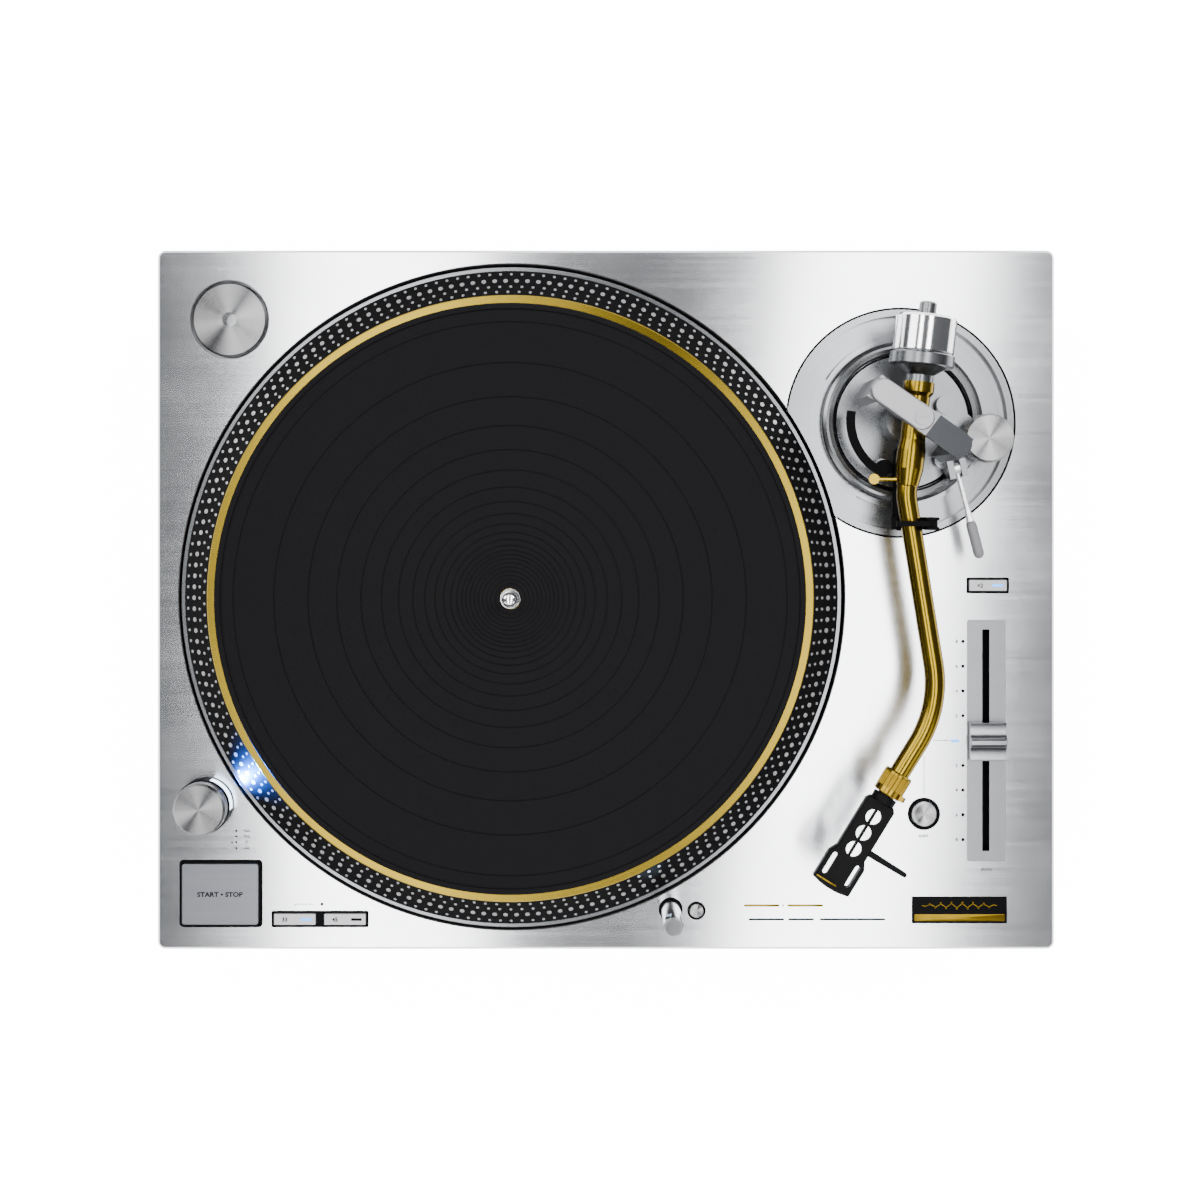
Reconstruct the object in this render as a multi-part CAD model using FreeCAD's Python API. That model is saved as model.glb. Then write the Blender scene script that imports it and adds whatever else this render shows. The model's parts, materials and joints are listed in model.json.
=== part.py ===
import FreeCAD, Part
import os
from math import atan2, cos, degrees, radians, sin, tan

# A direct-drive record player with a gimballed tonearm, in millimetres.
# +X is to the right and +Y to the rear, seen from the front, and +Z is up.
# The origin is on the floor under the middle of the deck.

V = FreeCAD.Vector
UP = V(0, 0, 1)

# ---- Case ----
DECK_WIDTH = 453.0
DECK_DEPTH = 353.0
CORNER_RADIUS = 4.0
EDGE_CHAMFER = 1.2
FOOT_HEIGHT = 28.0
BASE_HEIGHT = 30.0
CHASSIS_HEIGHT = 38.0
PANEL_THICKNESS = 10.0
BASE_INSET = 3.0
BASE_WALL = 14.0
BASE_FLOOR = 8.0
CHASSIS_WALL = 7.0
CHASSIS_PLATE = 5.0
FOOT_RADIUS = 31.0
FOOT_INSET = 42.0
STUD_RADIUS = 4.0
STUD_LENGTH = 20.0

# ---- Platter ----
PLATTER_FROM_LEFT = 179.0
PLATTER_Y = 1.5
PLATTER_RADIUS = 166.0
WELL_GAP = 2.0
LIP_WIDTH = 2.0
CONE_WIDTH = 12.8
BRASS_THICKNESS = 2.5
MAT_THICKNESS = 2.0
MAT_RIM_HEIGHT = 1.0
SPINDLE_RADIUS = 3.58
SHAFT_RADIUS = 5.0
ADAPTOR_RADIUS = 18.9

# ---- Tonearm ----
PIVOT_DISTANCE = 215.0
PIVOT_BEARING = 24.13
ARM_HEIGHT = 40.0
ARM_BASE_RADIUS = 57.5
TUBE_RADIUS = 4.9
BARREL_RADIUS = 6.75
WEIGHT_RADIUS = 14.75
COLLAR_RADIUS = 7.0
KNOB_RADIUS = 12.0

# ---- Clearances ----
RUNNING = 0.05
GAP = 0.35
BUTTON_GAP = 0.5

# ---- Levels ----
BASE_BOTTOM = FOOT_HEIGHT
CHASSIS_BOTTOM = BASE_BOTTOM + BASE_HEIGHT
PANEL_BOTTOM = CHASSIS_BOTTOM + CHASSIS_HEIGHT
DECK = PANEL_BOTTOM + PANEL_THICKNESS
LEFT = -DECK_WIDTH / 2
RIGHT = DECK_WIDTH / 2
FRONT = -DECK_DEPTH / 2
REAR = DECK_DEPTH / 2

# ---- Places ----
PLATTER = V(LEFT + PLATTER_FROM_LEFT, PLATTER_Y, 0)
WELL_RADIUS = PLATTER_RADIUS + WELL_GAP
PIVOT = PLATTER + V(PIVOT_DISTANCE * cos(radians(PIVOT_BEARING)),
    PIVOT_DISTANCE * sin(radians(PIVOT_BEARING)), 0)
AXIS_Z = DECK + ARM_HEIGHT
ADAPTOR = V(LEFT + 36.5, REAR - 35.0, 0)
STROBE = V(LEFT + 24.9, FRONT + 73.5, 0)
START_STOP = V(LEFT + 32.2, FRONT + 28.3, 0)
SPEED = V(LEFT + 82.2, FRONT + 15.4, 0)
RANGE = V(RIGHT - 33.8, 7.3, 0)
PITCH = V(RIGHT - 34.5, FRONT + 105.5, 0)
RESET = V(RIGHT - 66.0, FRONT + 68.5, 0)
LAMP = V(PLATTER.x + 80.2, FRONT + 20.2, 0)
LAMP_BUTTON = LAMP + V(13.0, -0.6, 0)
PLATE = V(RIGHT - 48.1, FRONT + 20.0, 0)

os.makedirs("parts", exist_ok=True)


# ---- Shape helpers ----
def save(node, shape):
    """Write one node's solid or group of solids."""
    shape.exportStep("parts/" + node + ".step")


def at(place, z):
    """The point above a place on the plan, at height z."""
    return V(place.x, place.y, z)


def polar(centre, radius, angle, z=0.0):
    """A point at a radius and an angle in degrees from a centre on the plan."""
    return V(centre.x + radius * cos(radians(angle)), centre.y + radius * sin(radians(angle)), z)


def disc(place, radius, low, high):
    """An upright cylinder between two heights."""
    return Part.makeCylinder(radius, high - low, at(place, low))


def tube(place, outer, inner, low, high):
    """An upright ring between two heights."""
    return disc(place, outer, low, high).cut(disc(place, inner, low - 1, high + 1))


def block(place, width, depth, low, high):
    """A box centred on a place on the plan."""
    return Part.makeBox(width, depth, high - low, V(place.x - width / 2, place.y - depth / 2, low))


def rounded(place, width, depth, low, high, radius):
    """A box with rounded upright edges."""
    shape = block(place, width, depth, low, high)
    upright = [e for e in shape.Edges if abs(e.tangentAt(e.FirstParameter).z) > 0.9]
    return shape.makeFillet(radius, upright)


def top_chamfered(shape, size):
    """The shape with the edges of its highest flat face chamfered."""
    top = shape.BoundBox.ZMax
    edges = [e for e in shape.Edges if e.BoundBox.ZMin > top - 0.001]
    return shape.makeChamfer(size, edges)


def top_filleted(shape, size):
    """The shape with the edges of its highest flat face rounded."""
    top = shape.BoundBox.ZMax
    edges = [e for e in shape.Edges if e.BoundBox.ZMin > top - 0.001]
    return shape.makeFillet(size, edges)


def prism(points, low, high):
    """A straight prism on a closed outline of plan points."""
    outline = [at(p, low) for p in points]
    wire = Part.makePolygon(outline + outline[:1])
    return Part.Face(wire).extrude(V(0, 0, high - low))


def turned(profile, origin, axis=UP):
    """A solid of revolution of (radius, distance along the axis) points about an axis through origin."""
    points = [V(r, 0, d) for r, d in profile]
    face = Part.Face(Part.makePolygon(points + points[:1]))
    shape = face.revolve(V(0, 0, 0), UP, 360)
    shape.Placement = FreeCAD.Placement(origin, FreeCAD.Rotation(UP, axis))
    return shape


def rod(start, end, radius):
    """A cylinder from one point to another."""
    run = end - start
    return Part.makeCylinder(radius, run.Length, start, run)


def bar(start, end, width, low, high, round_ends=True):
    """A flat bar between two plan points, with round or square ends."""
    run = V(end.x - start.x, end.y - start.y, 0)
    side = V(-run.y, run.x, 0).normalize() * (width / 2)
    shape = prism([start + side, end + side, end - side, start - side], low, high)
    if round_ends:
        shape = shape.fuse([disc(start, width / 2, low, high),
            disc(end, width / 2, low, high)]).removeSplitter()
    return shape


def turned_about(shape, centre, angle, axis=UP):
    """A copy of the shape turned about an axis through centre."""
    copy = shape.copy()
    copy.rotate(centre, axis, angle)
    return copy


def fluted(shape, place, radius, count, groove, low, high):
    """The shape with small upright grooves round its rim."""
    cutters = []
    for index in range(count):
        cutters.append(disc(polar(place, radius, 360.0 * index / count), groove, low, high))
    return shape.cut(Part.makeCompound(cutters))


# ---- Case ----
WELL = disc(PLATTER, WELL_RADIUS, PANEL_BOTTOM - 1, DECK + 1)
ARM_HOLE_RADIUS = ARM_BASE_RADIUS + 0.4
START_SIZE = V(38.6, 30.7, 0)
START_HOLE = V(41.9, 34.0, 0)
SPEED_SIZE = V(21.1, 5.7, 0)
SPEED_SPACING = 25.3
SPEED_HOLE = V(49.0, 8.3, 0)
RANGE_SIZE = V(19.1, 5.65, 0)
RANGE_HOLE = V(21.4, 8.0, 0)
PITCH_RECESS = V(19.6, 121.8, 0)
RESET_HOLE = 8.2
RESET_RADIUS = 6.4
LAMP_HOLE = 6.0
LAMP_BUTTON_HOLE = 4.6
LAMP_BUTTON_RADIUS = 3.5
PLATE_SIZE = V(48.0, 13.5, 0)
PLATE_DEPTH = 0.6
ADAPTOR_HOLE = ADAPTOR_RADIUS + 1.1
STROBE_WIRE_HOLE = 7.0
ARM_SLEEVE_RADIUS = 26.0
BEARING_RADIUS = 14.0
FEET = [("foot_front_left", -1, -1), ("foot_front_right", 1, -1), ("foot_rear_left", -1, 1),
    ("foot_rear_right", 1, 1)]


def foot_place(side, end):
    """A foot's centre, from the corner's two signs."""
    return V(side * (DECK_WIDTH / 2 - FOOT_INSET), end * (DECK_DEPTH / 2 - FOOT_INSET), 0)


def make_top_panel():
    """The brushed plate, with the platter's well and every control's cut-out."""
    panel = rounded(V(), DECK_WIDTH, DECK_DEPTH, PANEL_BOTTOM, DECK, CORNER_RADIUS)
    panel = top_chamfered(panel, EDGE_CHAMFER)
    low = PANEL_BOTTOM - 1
    high = DECK + 1
    cuts = [
        WELL,
        disc(PIVOT, ARM_HOLE_RADIUS, low, high),
        disc(ADAPTOR, ADAPTOR_HOLE, low, high),
        disc(STROBE, STROBE_WIRE_HOLE, low, high),
        rounded(START_STOP, START_HOLE.x, START_HOLE.y, low, high, 2.0),
        rounded(SPEED, SPEED_HOLE.x, SPEED_HOLE.y, low, high, 0.8),
        rounded(RANGE, RANGE_HOLE.x, RANGE_HOLE.y, low, high, 0.8),
        rounded(PITCH, PITCH_RECESS.x, PITCH_RECESS.y, low, high, 1.0),
        disc(RESET, RESET_HOLE, low, high),
        disc(LAMP, LAMP_HOLE, low, high),
        disc(LAMP_BUTTON, LAMP_BUTTON_HOLE, low, high),
        block(PLATE, PLATE_SIZE.x, PLATE_SIZE.y, DECK - PLATE_DEPTH, high),
    ]
    return panel.cut(cuts)


REAR_WALL_Z = CHASSIS_BOTTOM + 17.0
SIGNAL = V(RIGHT - 120.0, REAR, 0)
MAINS = V(LEFT + 106.5, REAR, 0)
SIGNAL_SIZE = V(92.0, 0, 24.0)
MAINS_SIZE = V(28.0, 0, 20.0)
SOCKET_SIZE = V(40.0, 16.0, 14.0)
SOCKET_INSET = 45.0
SOCKET_Z = PANEL_BOTTOM - 18.0


def rear_window(place, size, z):
    """A cutter for an opening through the rear wall."""
    return block(V(place.x, REAR, 0), size.x, 4 * CHASSIS_WALL, z - size.z / 2, z + size.z / 2)


def socket_places():
    """The two lid-hinge sockets' centres on the rear face."""
    return [V(LEFT + SOCKET_INSET, REAR, 0), V(RIGHT - SOCKET_INSET, REAR, 0)]


def make_chassis():
    """The die-cast frame: a rim and a plate that carry the motor, arm and controls."""
    frame = rounded(V(), DECK_WIDTH, DECK_DEPTH, CHASSIS_BOTTOM, PANEL_BOTTOM, CORNER_RADIUS)
    inner_width = DECK_WIDTH - 2 * CHASSIS_WALL
    inner_depth = DECK_DEPTH - 2 * CHASSIS_WALL
    plate_bottom = PANEL_BOTTOM - CHASSIS_PLATE
    cuts = [
        block(V(), inner_width, inner_depth, CHASSIS_BOTTOM - 1, plate_bottom),
        disc(PLATTER, BEARING_RADIUS + RUNNING, plate_bottom - 1, PANEL_BOTTOM + 1),
        disc(PIVOT, ARM_SLEEVE_RADIUS + RUNNING, plate_bottom - 1, PANEL_BOTTOM + 1),
        disc(LAMP, LAMP_HOLE, plate_bottom - 1, PANEL_BOTTOM + 1),
        disc(STROBE, STROBE_WIRE_HOLE, plate_bottom - 1, PANEL_BOTTOM + 1),
        rear_window(SIGNAL, SIGNAL_SIZE, REAR_WALL_Z),
        rear_window(MAINS, MAINS_SIZE, REAR_WALL_Z),
    ]
    for place in socket_places():
        cuts.append(block(V(place.x, REAR, 0), SOCKET_SIZE.x, 4 * CHASSIS_WALL,
                          SOCKET_Z - SOCKET_SIZE.z / 2, SOCKET_Z + SOCKET_SIZE.z / 2))
    return frame.cut(cuts)


def make_rubber_base():
    """The heavy rubber tray that closes the case and takes the feet's studs."""
    width = DECK_WIDTH - 2 * BASE_INSET
    depth = DECK_DEPTH - 2 * BASE_INSET
    tray = rounded(V(), width, depth, BASE_BOTTOM, CHASSIS_BOTTOM, CORNER_RADIUS)
    floor = BASE_BOTTOM + BASE_FLOOR
    tray = tray.cut(block(V(), width - 2 * BASE_WALL, depth - 2 * BASE_WALL, floor, CHASSIS_BOTTOM + 1))
    bosses = [disc(foot_place(s, e), 3 * STUD_RADIUS, BASE_BOTTOM, CHASSIS_BOTTOM - 4) for _, s, e in FEET]
    tray = tray.fuse(bosses)
    bores = []
    for _, side, end in FEET:
        bores.append(disc(foot_place(side, end), STUD_RADIUS + RUNNING, BASE_BOTTOM - 1,
            BASE_BOTTOM + STUD_LENGTH + 1))
    bores += [disc(p, SCREW_RADIUS + RUNNING, BASE_BOTTOM - 1, CHASSIS_BOTTOM + 1) for p in screw_places()]
    bores += [disc(p, SCREW_HEAD_RADIUS + RUNNING, BASE_BOTTOM - 1,
        BASE_BOTTOM + SCREW_SINK) for p in screw_places()]
    return tray.cut(bores)


SCREW_RADIUS = 2.0
SCREW_HEAD_RADIUS = 4.0
SCREW_SINK = 4.0


def screw_places():
    """The case screws: along the front and rear walls and at the middle of the sides."""
    half_width = DECK_WIDTH / 2 - BASE_INSET - BASE_WALL / 2
    half_depth = DECK_DEPTH / 2 - BASE_INSET - BASE_WALL / 2
    places = [V(x * half_width, y * half_depth, 0) for x in (-0.45, 0.0, 0.45) for y in (-1, 1)]
    places += [V(x * half_width, 0, 0) for x in (-1, 1)]
    return places


def make_base_screws():
    """Pan-head screws that hold the tray to the frame."""
    head_low = BASE_BOTTOM + 1.0
    head_high = BASE_BOTTOM + SCREW_SINK
    screws = []
    for place in screw_places():
        screw = disc(place, SCREW_HEAD_RADIUS, head_low, head_high)
        screw = screw.fuse(disc(place, SCREW_RADIUS, head_high, CHASSIS_BOTTOM))
        cross = block(place, 5.0, 1.2, head_low - 1,
            head_low + 1.4).fuse(block(place, 1.2, 5.0, head_low - 1, head_low + 1.4))
        screws.append(screw.cut(cross))
    return Part.makeCompound(screws)


def make_foot(place):
    """One screw foot: a soft pad, a flared housing and a threaded stud."""
    top = FOOT_HEIGHT - GAP
    waist = FOOT_RADIUS - 2.5
    profile = [
        (0, 0), (waist - 1.0, 0), (waist, 1.0), (waist, 5.0), (FOOT_RADIUS, 7.0), (FOOT_RADIUS, top - 6.0),
        (FOOT_RADIUS - 1.5, top - 4.5), (FOOT_RADIUS - 5.0, top), (STUD_RADIUS, top),
        (STUD_RADIUS, BASE_BOTTOM + STUD_LENGTH - 1.0), (STUD_RADIUS - 1.0, BASE_BOTTOM + STUD_LENGTH),
            (0, BASE_BOTTOM + STUD_LENGTH),
    ]
    foot = turned(profile, place)
    return fluted(foot, place, FOOT_RADIUS + 0.6, 48, 1.1, 7.5, top - 6.5)


save("top_panel", make_top_panel())
save("chassis", make_chassis())
save("rubber_base", make_rubber_base())
save("base_screws", make_base_screws())
for name, side_sign, end_sign in FEET:
    save(name, make_foot(foot_place(side_sign, end_sign)))


# ---- Platter, bearing and motor ----
PLATTER_BOTTOM = PANEL_BOTTOM + 3.0
PLATTER_TOP = DECK + 12.5
PLATTER_UNDERSIDE = PLATTER_BOTTOM + 9.0
LIP_TOP = DECK + 3.0
CONE_FOOT = DECK + 4.0
CONE_OUTER = PLATTER_RADIUS - LIP_WIDTH
CONE_INNER = CONE_OUTER - CONE_WIDTH
SKIRT_WIDTH = 14.0
HUB_RADIUS = 36.0
BRASS_RADIUS = CONE_INNER - 0.5
BRASS_TOP = PLATTER_TOP + BRASS_THICKNESS
MAT_RADIUS = BRASS_RADIUS - 4.2
MAT_TOP = BRASS_TOP + MAT_THICKNESS
MAT_RIM_WIDTH = 3.2
MAT_GROOVE_DEPTH = 0.5
SPINDLE_TOP = DECK + 27.0
SPINDLE_TIP = 2.0
SHAFT_BOTTOM = PANEL_BOTTOM - 28.0
COIL_HEIGHT = 4.0
MAGNET_INNER = 42.0
MAGNET_OUTER = 62.0
MAGNET_GAP = 1.0
COIL_COUNT = 9


def groove_radii():
    """The mat's grooves: evenly spaced near the middle, then ever wider apart."""
    radii = [SHAFT_RADIUS + 0.5 + 2.05 * index for index in range(1, 10)]
    step = 2.5
    while radii[-1] + step < MAT_RADIUS - 2 * MAT_RIM_WIDTH:
        radii.append(radii[-1] + step)
        step *= 1.19
    return radii


def make_platter():
    """The cast platter: a lip, a sloping rim, a deep skirt and a hub."""
    profile = [
        (SHAFT_RADIUS, PLATTER_BOTTOM + 1.0), (HUB_RADIUS, PLATTER_BOTTOM + 1.0),
            (HUB_RADIUS, PLATTER_UNDERSIDE),
        (PLATTER_RADIUS - SKIRT_WIDTH, PLATTER_UNDERSIDE), (PLATTER_RADIUS - SKIRT_WIDTH, PLATTER_BOTTOM),
        (PLATTER_RADIUS - 0.5, PLATTER_BOTTOM), (PLATTER_RADIUS, PLATTER_BOTTOM + 0.5),
            (PLATTER_RADIUS, LIP_TOP - 0.3),
        (PLATTER_RADIUS - 0.3, LIP_TOP), (CONE_OUTER, LIP_TOP), (CONE_OUTER, CONE_FOOT),
            (CONE_INNER, PLATTER_TOP),
        (SHAFT_RADIUS, PLATTER_TOP),
    ]
    return turned(profile, PLATTER)


def make_platter_brass():
    """The brass disc on the platter, whose edge shows as a ring round the mat."""
    profile = [
        (SHAFT_RADIUS + RUNNING, PLATTER_TOP), (BRASS_RADIUS, PLATTER_TOP), (BRASS_RADIUS, BRASS_TOP - 0.4),
        (BRASS_RADIUS - 0.4, BRASS_TOP), (SHAFT_RADIUS + RUNNING, BRASS_TOP),
    ]
    return turned(profile, PLATTER)


def make_platter_mat():
    """The rubber mat, grooved in rings, with a raised rim."""
    rim = MAT_RADIUS - MAT_RIM_WIDTH
    rim_top = MAT_TOP + MAT_RIM_HEIGHT
    profile = [
        (SHAFT_RADIUS + 0.3, BRASS_TOP), (MAT_RADIUS, BRASS_TOP), (MAT_RADIUS, rim_top - 0.5),
            (MAT_RADIUS - 0.5, rim_top),
        (rim + 0.5, rim_top), (rim, MAT_TOP), (SHAFT_RADIUS + 0.3, MAT_TOP),
    ]
    mat = turned(profile, PLATTER)
    grooves = [tube(PLATTER, r + 0.35, r - 0.35, MAT_TOP - MAT_GROOVE_DEPTH,
        MAT_TOP + 1) for r in groove_radii()]
    return mat.cut(Part.makeCompound(grooves))


def make_spindle():
    """The steel shaft: a thick part in the bearing and hub, and the record's pin with a round tip."""
    shoulder = MAT_TOP
    profile = [
        (0, SHAFT_BOTTOM), (SHAFT_RADIUS - 1.0, SHAFT_BOTTOM), (SHAFT_RADIUS, SHAFT_BOTTOM + 1.0),
            (SHAFT_RADIUS, shoulder),
        (SPINDLE_RADIUS, shoulder), (SPINDLE_RADIUS, SPINDLE_TOP - SPINDLE_TIP),
            (0, SPINDLE_TOP - SPINDLE_TIP),
    ]
    shape = turned(profile, PLATTER)
    tip = Part.makeSphere(SPINDLE_RADIUS, at(PLATTER, 0))
    squash = FreeCAD.Matrix()
    squash.scale(1, 1, SPINDLE_TIP / SPINDLE_RADIUS)
    tip = tip.transformGeometry(squash)
    tip = tip.common(disc(PLATTER, SPINDLE_RADIUS + 1, 0, SPINDLE_TIP + 1))
    tip.translate(V(0, 0, SPINDLE_TOP - SPINDLE_TIP))
    return shape.fuse(tip)


def make_bearing_housing():
    """The bronze-bushed cup that carries the spindle, hung in the frame by its flange."""
    flange = PANEL_BOTTOM + 2.0
    bore = SHAFT_RADIUS + RUNNING
    profile = [
        (0, SHAFT_BOTTOM - 5.0), (BEARING_RADIUS, SHAFT_BOTTOM - 5.0), (BEARING_RADIUS, PANEL_BOTTOM),
            (2.1 * BEARING_RADIUS, PANEL_BOTTOM),
        (2.1 * BEARING_RADIUS, flange), (bore, flange), (bore, SHAFT_BOTTOM), (0, SHAFT_BOTTOM),
    ]
    return turned(profile, PLATTER)


def make_motor_coils():
    """The flat stator coils of the direct-drive motor, in a ring on the frame."""
    middle = (MAGNET_INNER + MAGNET_OUTER) / 2
    depth = MAGNET_OUTER - MAGNET_INNER
    first = PLATTER + V(middle, 0, 0)
    coil = rounded(first, depth, depth + 6.0, PANEL_BOTTOM, PANEL_BOTTOM + COIL_HEIGHT, 5.0)
    coil = coil.cut(rounded(first, depth / 3, depth / 2, PANEL_BOTTOM - 1, PANEL_BOTTOM + COIL_HEIGHT + 1,
        2.0))
    return Part.makeCompound([turned_about(coil, PLATTER, 360.0 * i / COIL_COUNT) for i in range(COIL_COUNT)])


save("platter", make_platter())
save("platter_brass", make_platter_brass())
save("platter_mat", make_platter_mat())
save("platter_damper", tube(PLATTER, PLATTER_RADIUS - SKIRT_WIDTH, MAGNET_OUTER + 4.0,
    PLATTER_UNDERSIDE - 3.0, PLATTER_UNDERSIDE))
save("rotor_magnet", tube(PLATTER, MAGNET_OUTER, MAGNET_INNER, PANEL_BOTTOM + COIL_HEIGHT + MAGNET_GAP,
    PLATTER_UNDERSIDE))
save("spindle", make_spindle())
save("bearing_housing", make_bearing_housing())
save("motor_coils", make_motor_coils())


# ---- Controls ----
BUTTON_BOTTOM = PANEL_BOTTOM + 3.0
START_TOP = DECK + 2.5
SPEED_TOP = DECK + 1.2
RESET_TOP = DECK + 1.0
FRAME_TOP = DECK + 0.2
TOWER_RADIUS = 13.6
TOWER_TOP = DECK + 10.0
POWER_TOP = DECK + 18.0
POWER_RADIUS = 13.0
WINDOW_DEPTH = 3.0
WINDOW_HALF_ANGLE = 42.0
LAMP_RADIUS = 4.8
LAMP_TOP = DECK + 36.0
LAMP_TRAVEL = 22.0
SLEEVE_BOTTOM = PANEL_BOTTOM - 34.0
PITCH_FACE = DECK - 1.0
PITCH_SLOT = V(3.6, 112.0, 0)
PITCH_KNOB = V(18.0, 19.0, 9.0)
PITCH_STEM = V(3.0, 6.0, 0)
RAIL_SIZE = V(15.0, 119.0, 0)


def button_frame(hole, window, places, centre, radius):
    """A black frame that fills a cut-out, with one window for each button."""
    frame = rounded(centre, hole.x, hole.y, PANEL_BOTTOM, FRAME_TOP, radius)
    windows = [rounded(p, window.x + 2 * BUTTON_GAP, window.y + 2 * BUTTON_GAP, PANEL_BOTTOM - 1, DECK + 1,
        0.6) for p in places]
    return frame.cut(windows)


def speed_places():
    """The 33 and 45 buttons' centres."""
    return [SPEED - V(SPEED_SPACING / 2, 0, 0), SPEED + V(SPEED_SPACING / 2, 0, 0)]


def make_button_frames():
    """The surrounds of the start, speed, reset and lamp buttons."""
    return Part.makeCompound([
        button_frame(START_HOLE, START_SIZE, [START_STOP], START_STOP, 2.0),
        button_frame(SPEED_HOLE, SPEED_SIZE, speed_places(), SPEED, 0.8),
        button_frame(RANGE_HOLE, RANGE_SIZE, [RANGE], RANGE, 0.8),
        tube(RESET, RESET_HOLE, RESET_RADIUS + BUTTON_GAP, PANEL_BOTTOM, FRAME_TOP),
        tube(LAMP_BUTTON, LAMP_BUTTON_HOLE, LAMP_BUTTON_RADIUS + BUTTON_GAP, PANEL_BOTTOM, FRAME_TOP),
    ])


def flat_button(place, size, top, radius):
    """A rectangular push button with softened top edges."""
    return top_filleted(rounded(place, size.x, size.y, BUTTON_BOTTOM, top, radius), 0.4)


def dished_button(place, radius, top):
    """A round push button with a shallow dished top."""
    button = top_filleted(disc(place, radius, BUTTON_BOTTOM, top), 0.4)
    dish = 6 * radius
    return button.cut(Part.makeSphere(dish, at(place, top - 0.3 + dish)))


def strobe_wedge(inner, outer, low, high):
    """The part of a ring round the strobe tower that faces the platter."""
    towards = degrees(atan2(PLATTER.y - STROBE.y, PLATTER.x - STROBE.x))
    corners = [STROBE]
    for step in (-1.0, -0.4, 0.4, 1.0):
        corners.append(polar(STROBE, 2 * outer, towards + step * WINDOW_HALF_ANGLE))
    return tube(STROBE, outer, inner, low, high).common(prism(corners, low, high))


def make_strobe_tower():
    """The round housing of the strobe lamp, under the power knob."""
    tower = disc(STROBE, TOWER_RADIUS, DECK, TOWER_TOP)
    notch = strobe_wedge(TOWER_RADIUS - WINDOW_DEPTH, TOWER_RADIUS + 1, DECK + 1.5, TOWER_TOP - 1.5)
    return tower.cut([notch, disc(STROBE, 3.0 + RUNNING, DECK - 1, TOWER_TOP + 1)])


def make_power_knob():
    """The knurled power knob with a spun top and a stem."""
    low = TOWER_TOP + GAP
    profile = [
        (0, DECK + 1.0), (3.0, DECK + 1.0), (3.0, low), (POWER_RADIUS, low), (POWER_RADIUS, POWER_TOP - 1.6),
        (POWER_RADIUS - 0.6, POWER_TOP - 1.0), (POWER_RADIUS - 0.6, POWER_TOP - 0.4),
            (POWER_RADIUS - 1.0, POWER_TOP), (0, POWER_TOP),
    ]
    knob = turned(profile, STROBE)
    knob = fluted(knob, STROBE, POWER_RADIUS + 0.25, 60, 0.55, low + 0.6, POWER_TOP - 1.9)
    return knob.cut(disc(polar(STROBE, POWER_RADIUS - 3.2, 200.0), 0.8, POWER_TOP - 0.4, POWER_TOP + 1))


def make_pitch_knob():
    """The fader's cap, scooped on both sides of a ridge, and its stem."""
    low = PITCH_FACE + 0.4
    half = PITCH_KNOB.y / 2
    x = PITCH.x - PITCH_KNOB.x / 2

    def point(offset, height):
        return V(x, PITCH.y + offset, height)

    ridge = DECK + PITCH_KNOB.z
    crest = DECK + 5.5
    scoop = DECK + 4.6
    ends = [point(-half, low), point(half, low), point(half, crest)]
    edges = [
        Part.makeLine(ends[0], ends[1]), Part.makeLine(ends[1], ends[2]),
        Part.Arc(ends[2], point(half * 0.55, scoop), point(1.0, ridge)).toShape(),
        Part.makeLine(point(1.0, ridge), point(-1.0, ridge)),
        Part.Arc(point(-1.0, ridge), point(-half * 0.55, scoop), point(-half, crest)).toShape(),
        Part.makeLine(point(-half, crest), ends[0]),
    ]
    cap = Part.Face(Part.Wire(edges)).extrude(V(PITCH_KNOB.x, 0, 0))
    return cap.fuse(block(PITCH, PITCH_STEM.x, PITCH_STEM.y, PANEL_BOTTOM + 2.5, low))


def make_target_lamp():
    """The pop-up lamp: a slim post with a lens recess that faces the platter."""
    post = top_filleted(disc(LAMP, LAMP_RADIUS, SLEEVE_BOTTOM + LAMP_TRAVEL + 2.0, LAMP_TOP), 0.7)
    towards = degrees(atan2(PLATTER.y - LAMP.y, PLATTER.x - LAMP.x))
    recess = block(LAMP + V(LAMP_RADIUS, 0, 0), LAMP_RADIUS, 5.0, LAMP_TOP - 7.5, LAMP_TOP - 2.5)
    return post.cut(turned_about(recess, LAMP, towards))


pitch_plate = rounded(PITCH, PITCH_RECESS.x, PITCH_RECESS.y, PITCH_FACE - 2.0, PITCH_FACE, 1.0)
pitch_plate = pitch_plate.cut(block(PITCH, PITCH_SLOT.x, PITCH_SLOT.y, PITCH_FACE - 3.0, PITCH_FACE + 1))
rail_top = PITCH_FACE - 2.2
pitch_rail = block(PITCH, RAIL_SIZE.x, RAIL_SIZE.y, PANEL_BOTTOM, rail_top)
pitch_rail = pitch_rail.cut(block(PITCH, PITCH_SLOT.x + 1.0, PITCH_SLOT.y, PANEL_BOTTOM + 2.0, rail_top + 1))

adaptor_top = DECK + 0.8
adaptor_profile = [
    (SPINDLE_RADIUS + RUNNING, PANEL_BOTTOM), (ADAPTOR_RADIUS - 0.5, PANEL_BOTTOM),
        (ADAPTOR_RADIUS, PANEL_BOTTOM + 0.5),
    (ADAPTOR_RADIUS, adaptor_top - 1.4), (ADAPTOR_RADIUS - 1.0, adaptor_top - 0.3),
        (SPINDLE_RADIUS + 2.0, adaptor_top),
    (SPINDLE_RADIUS + RUNNING, adaptor_top),
]

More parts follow.
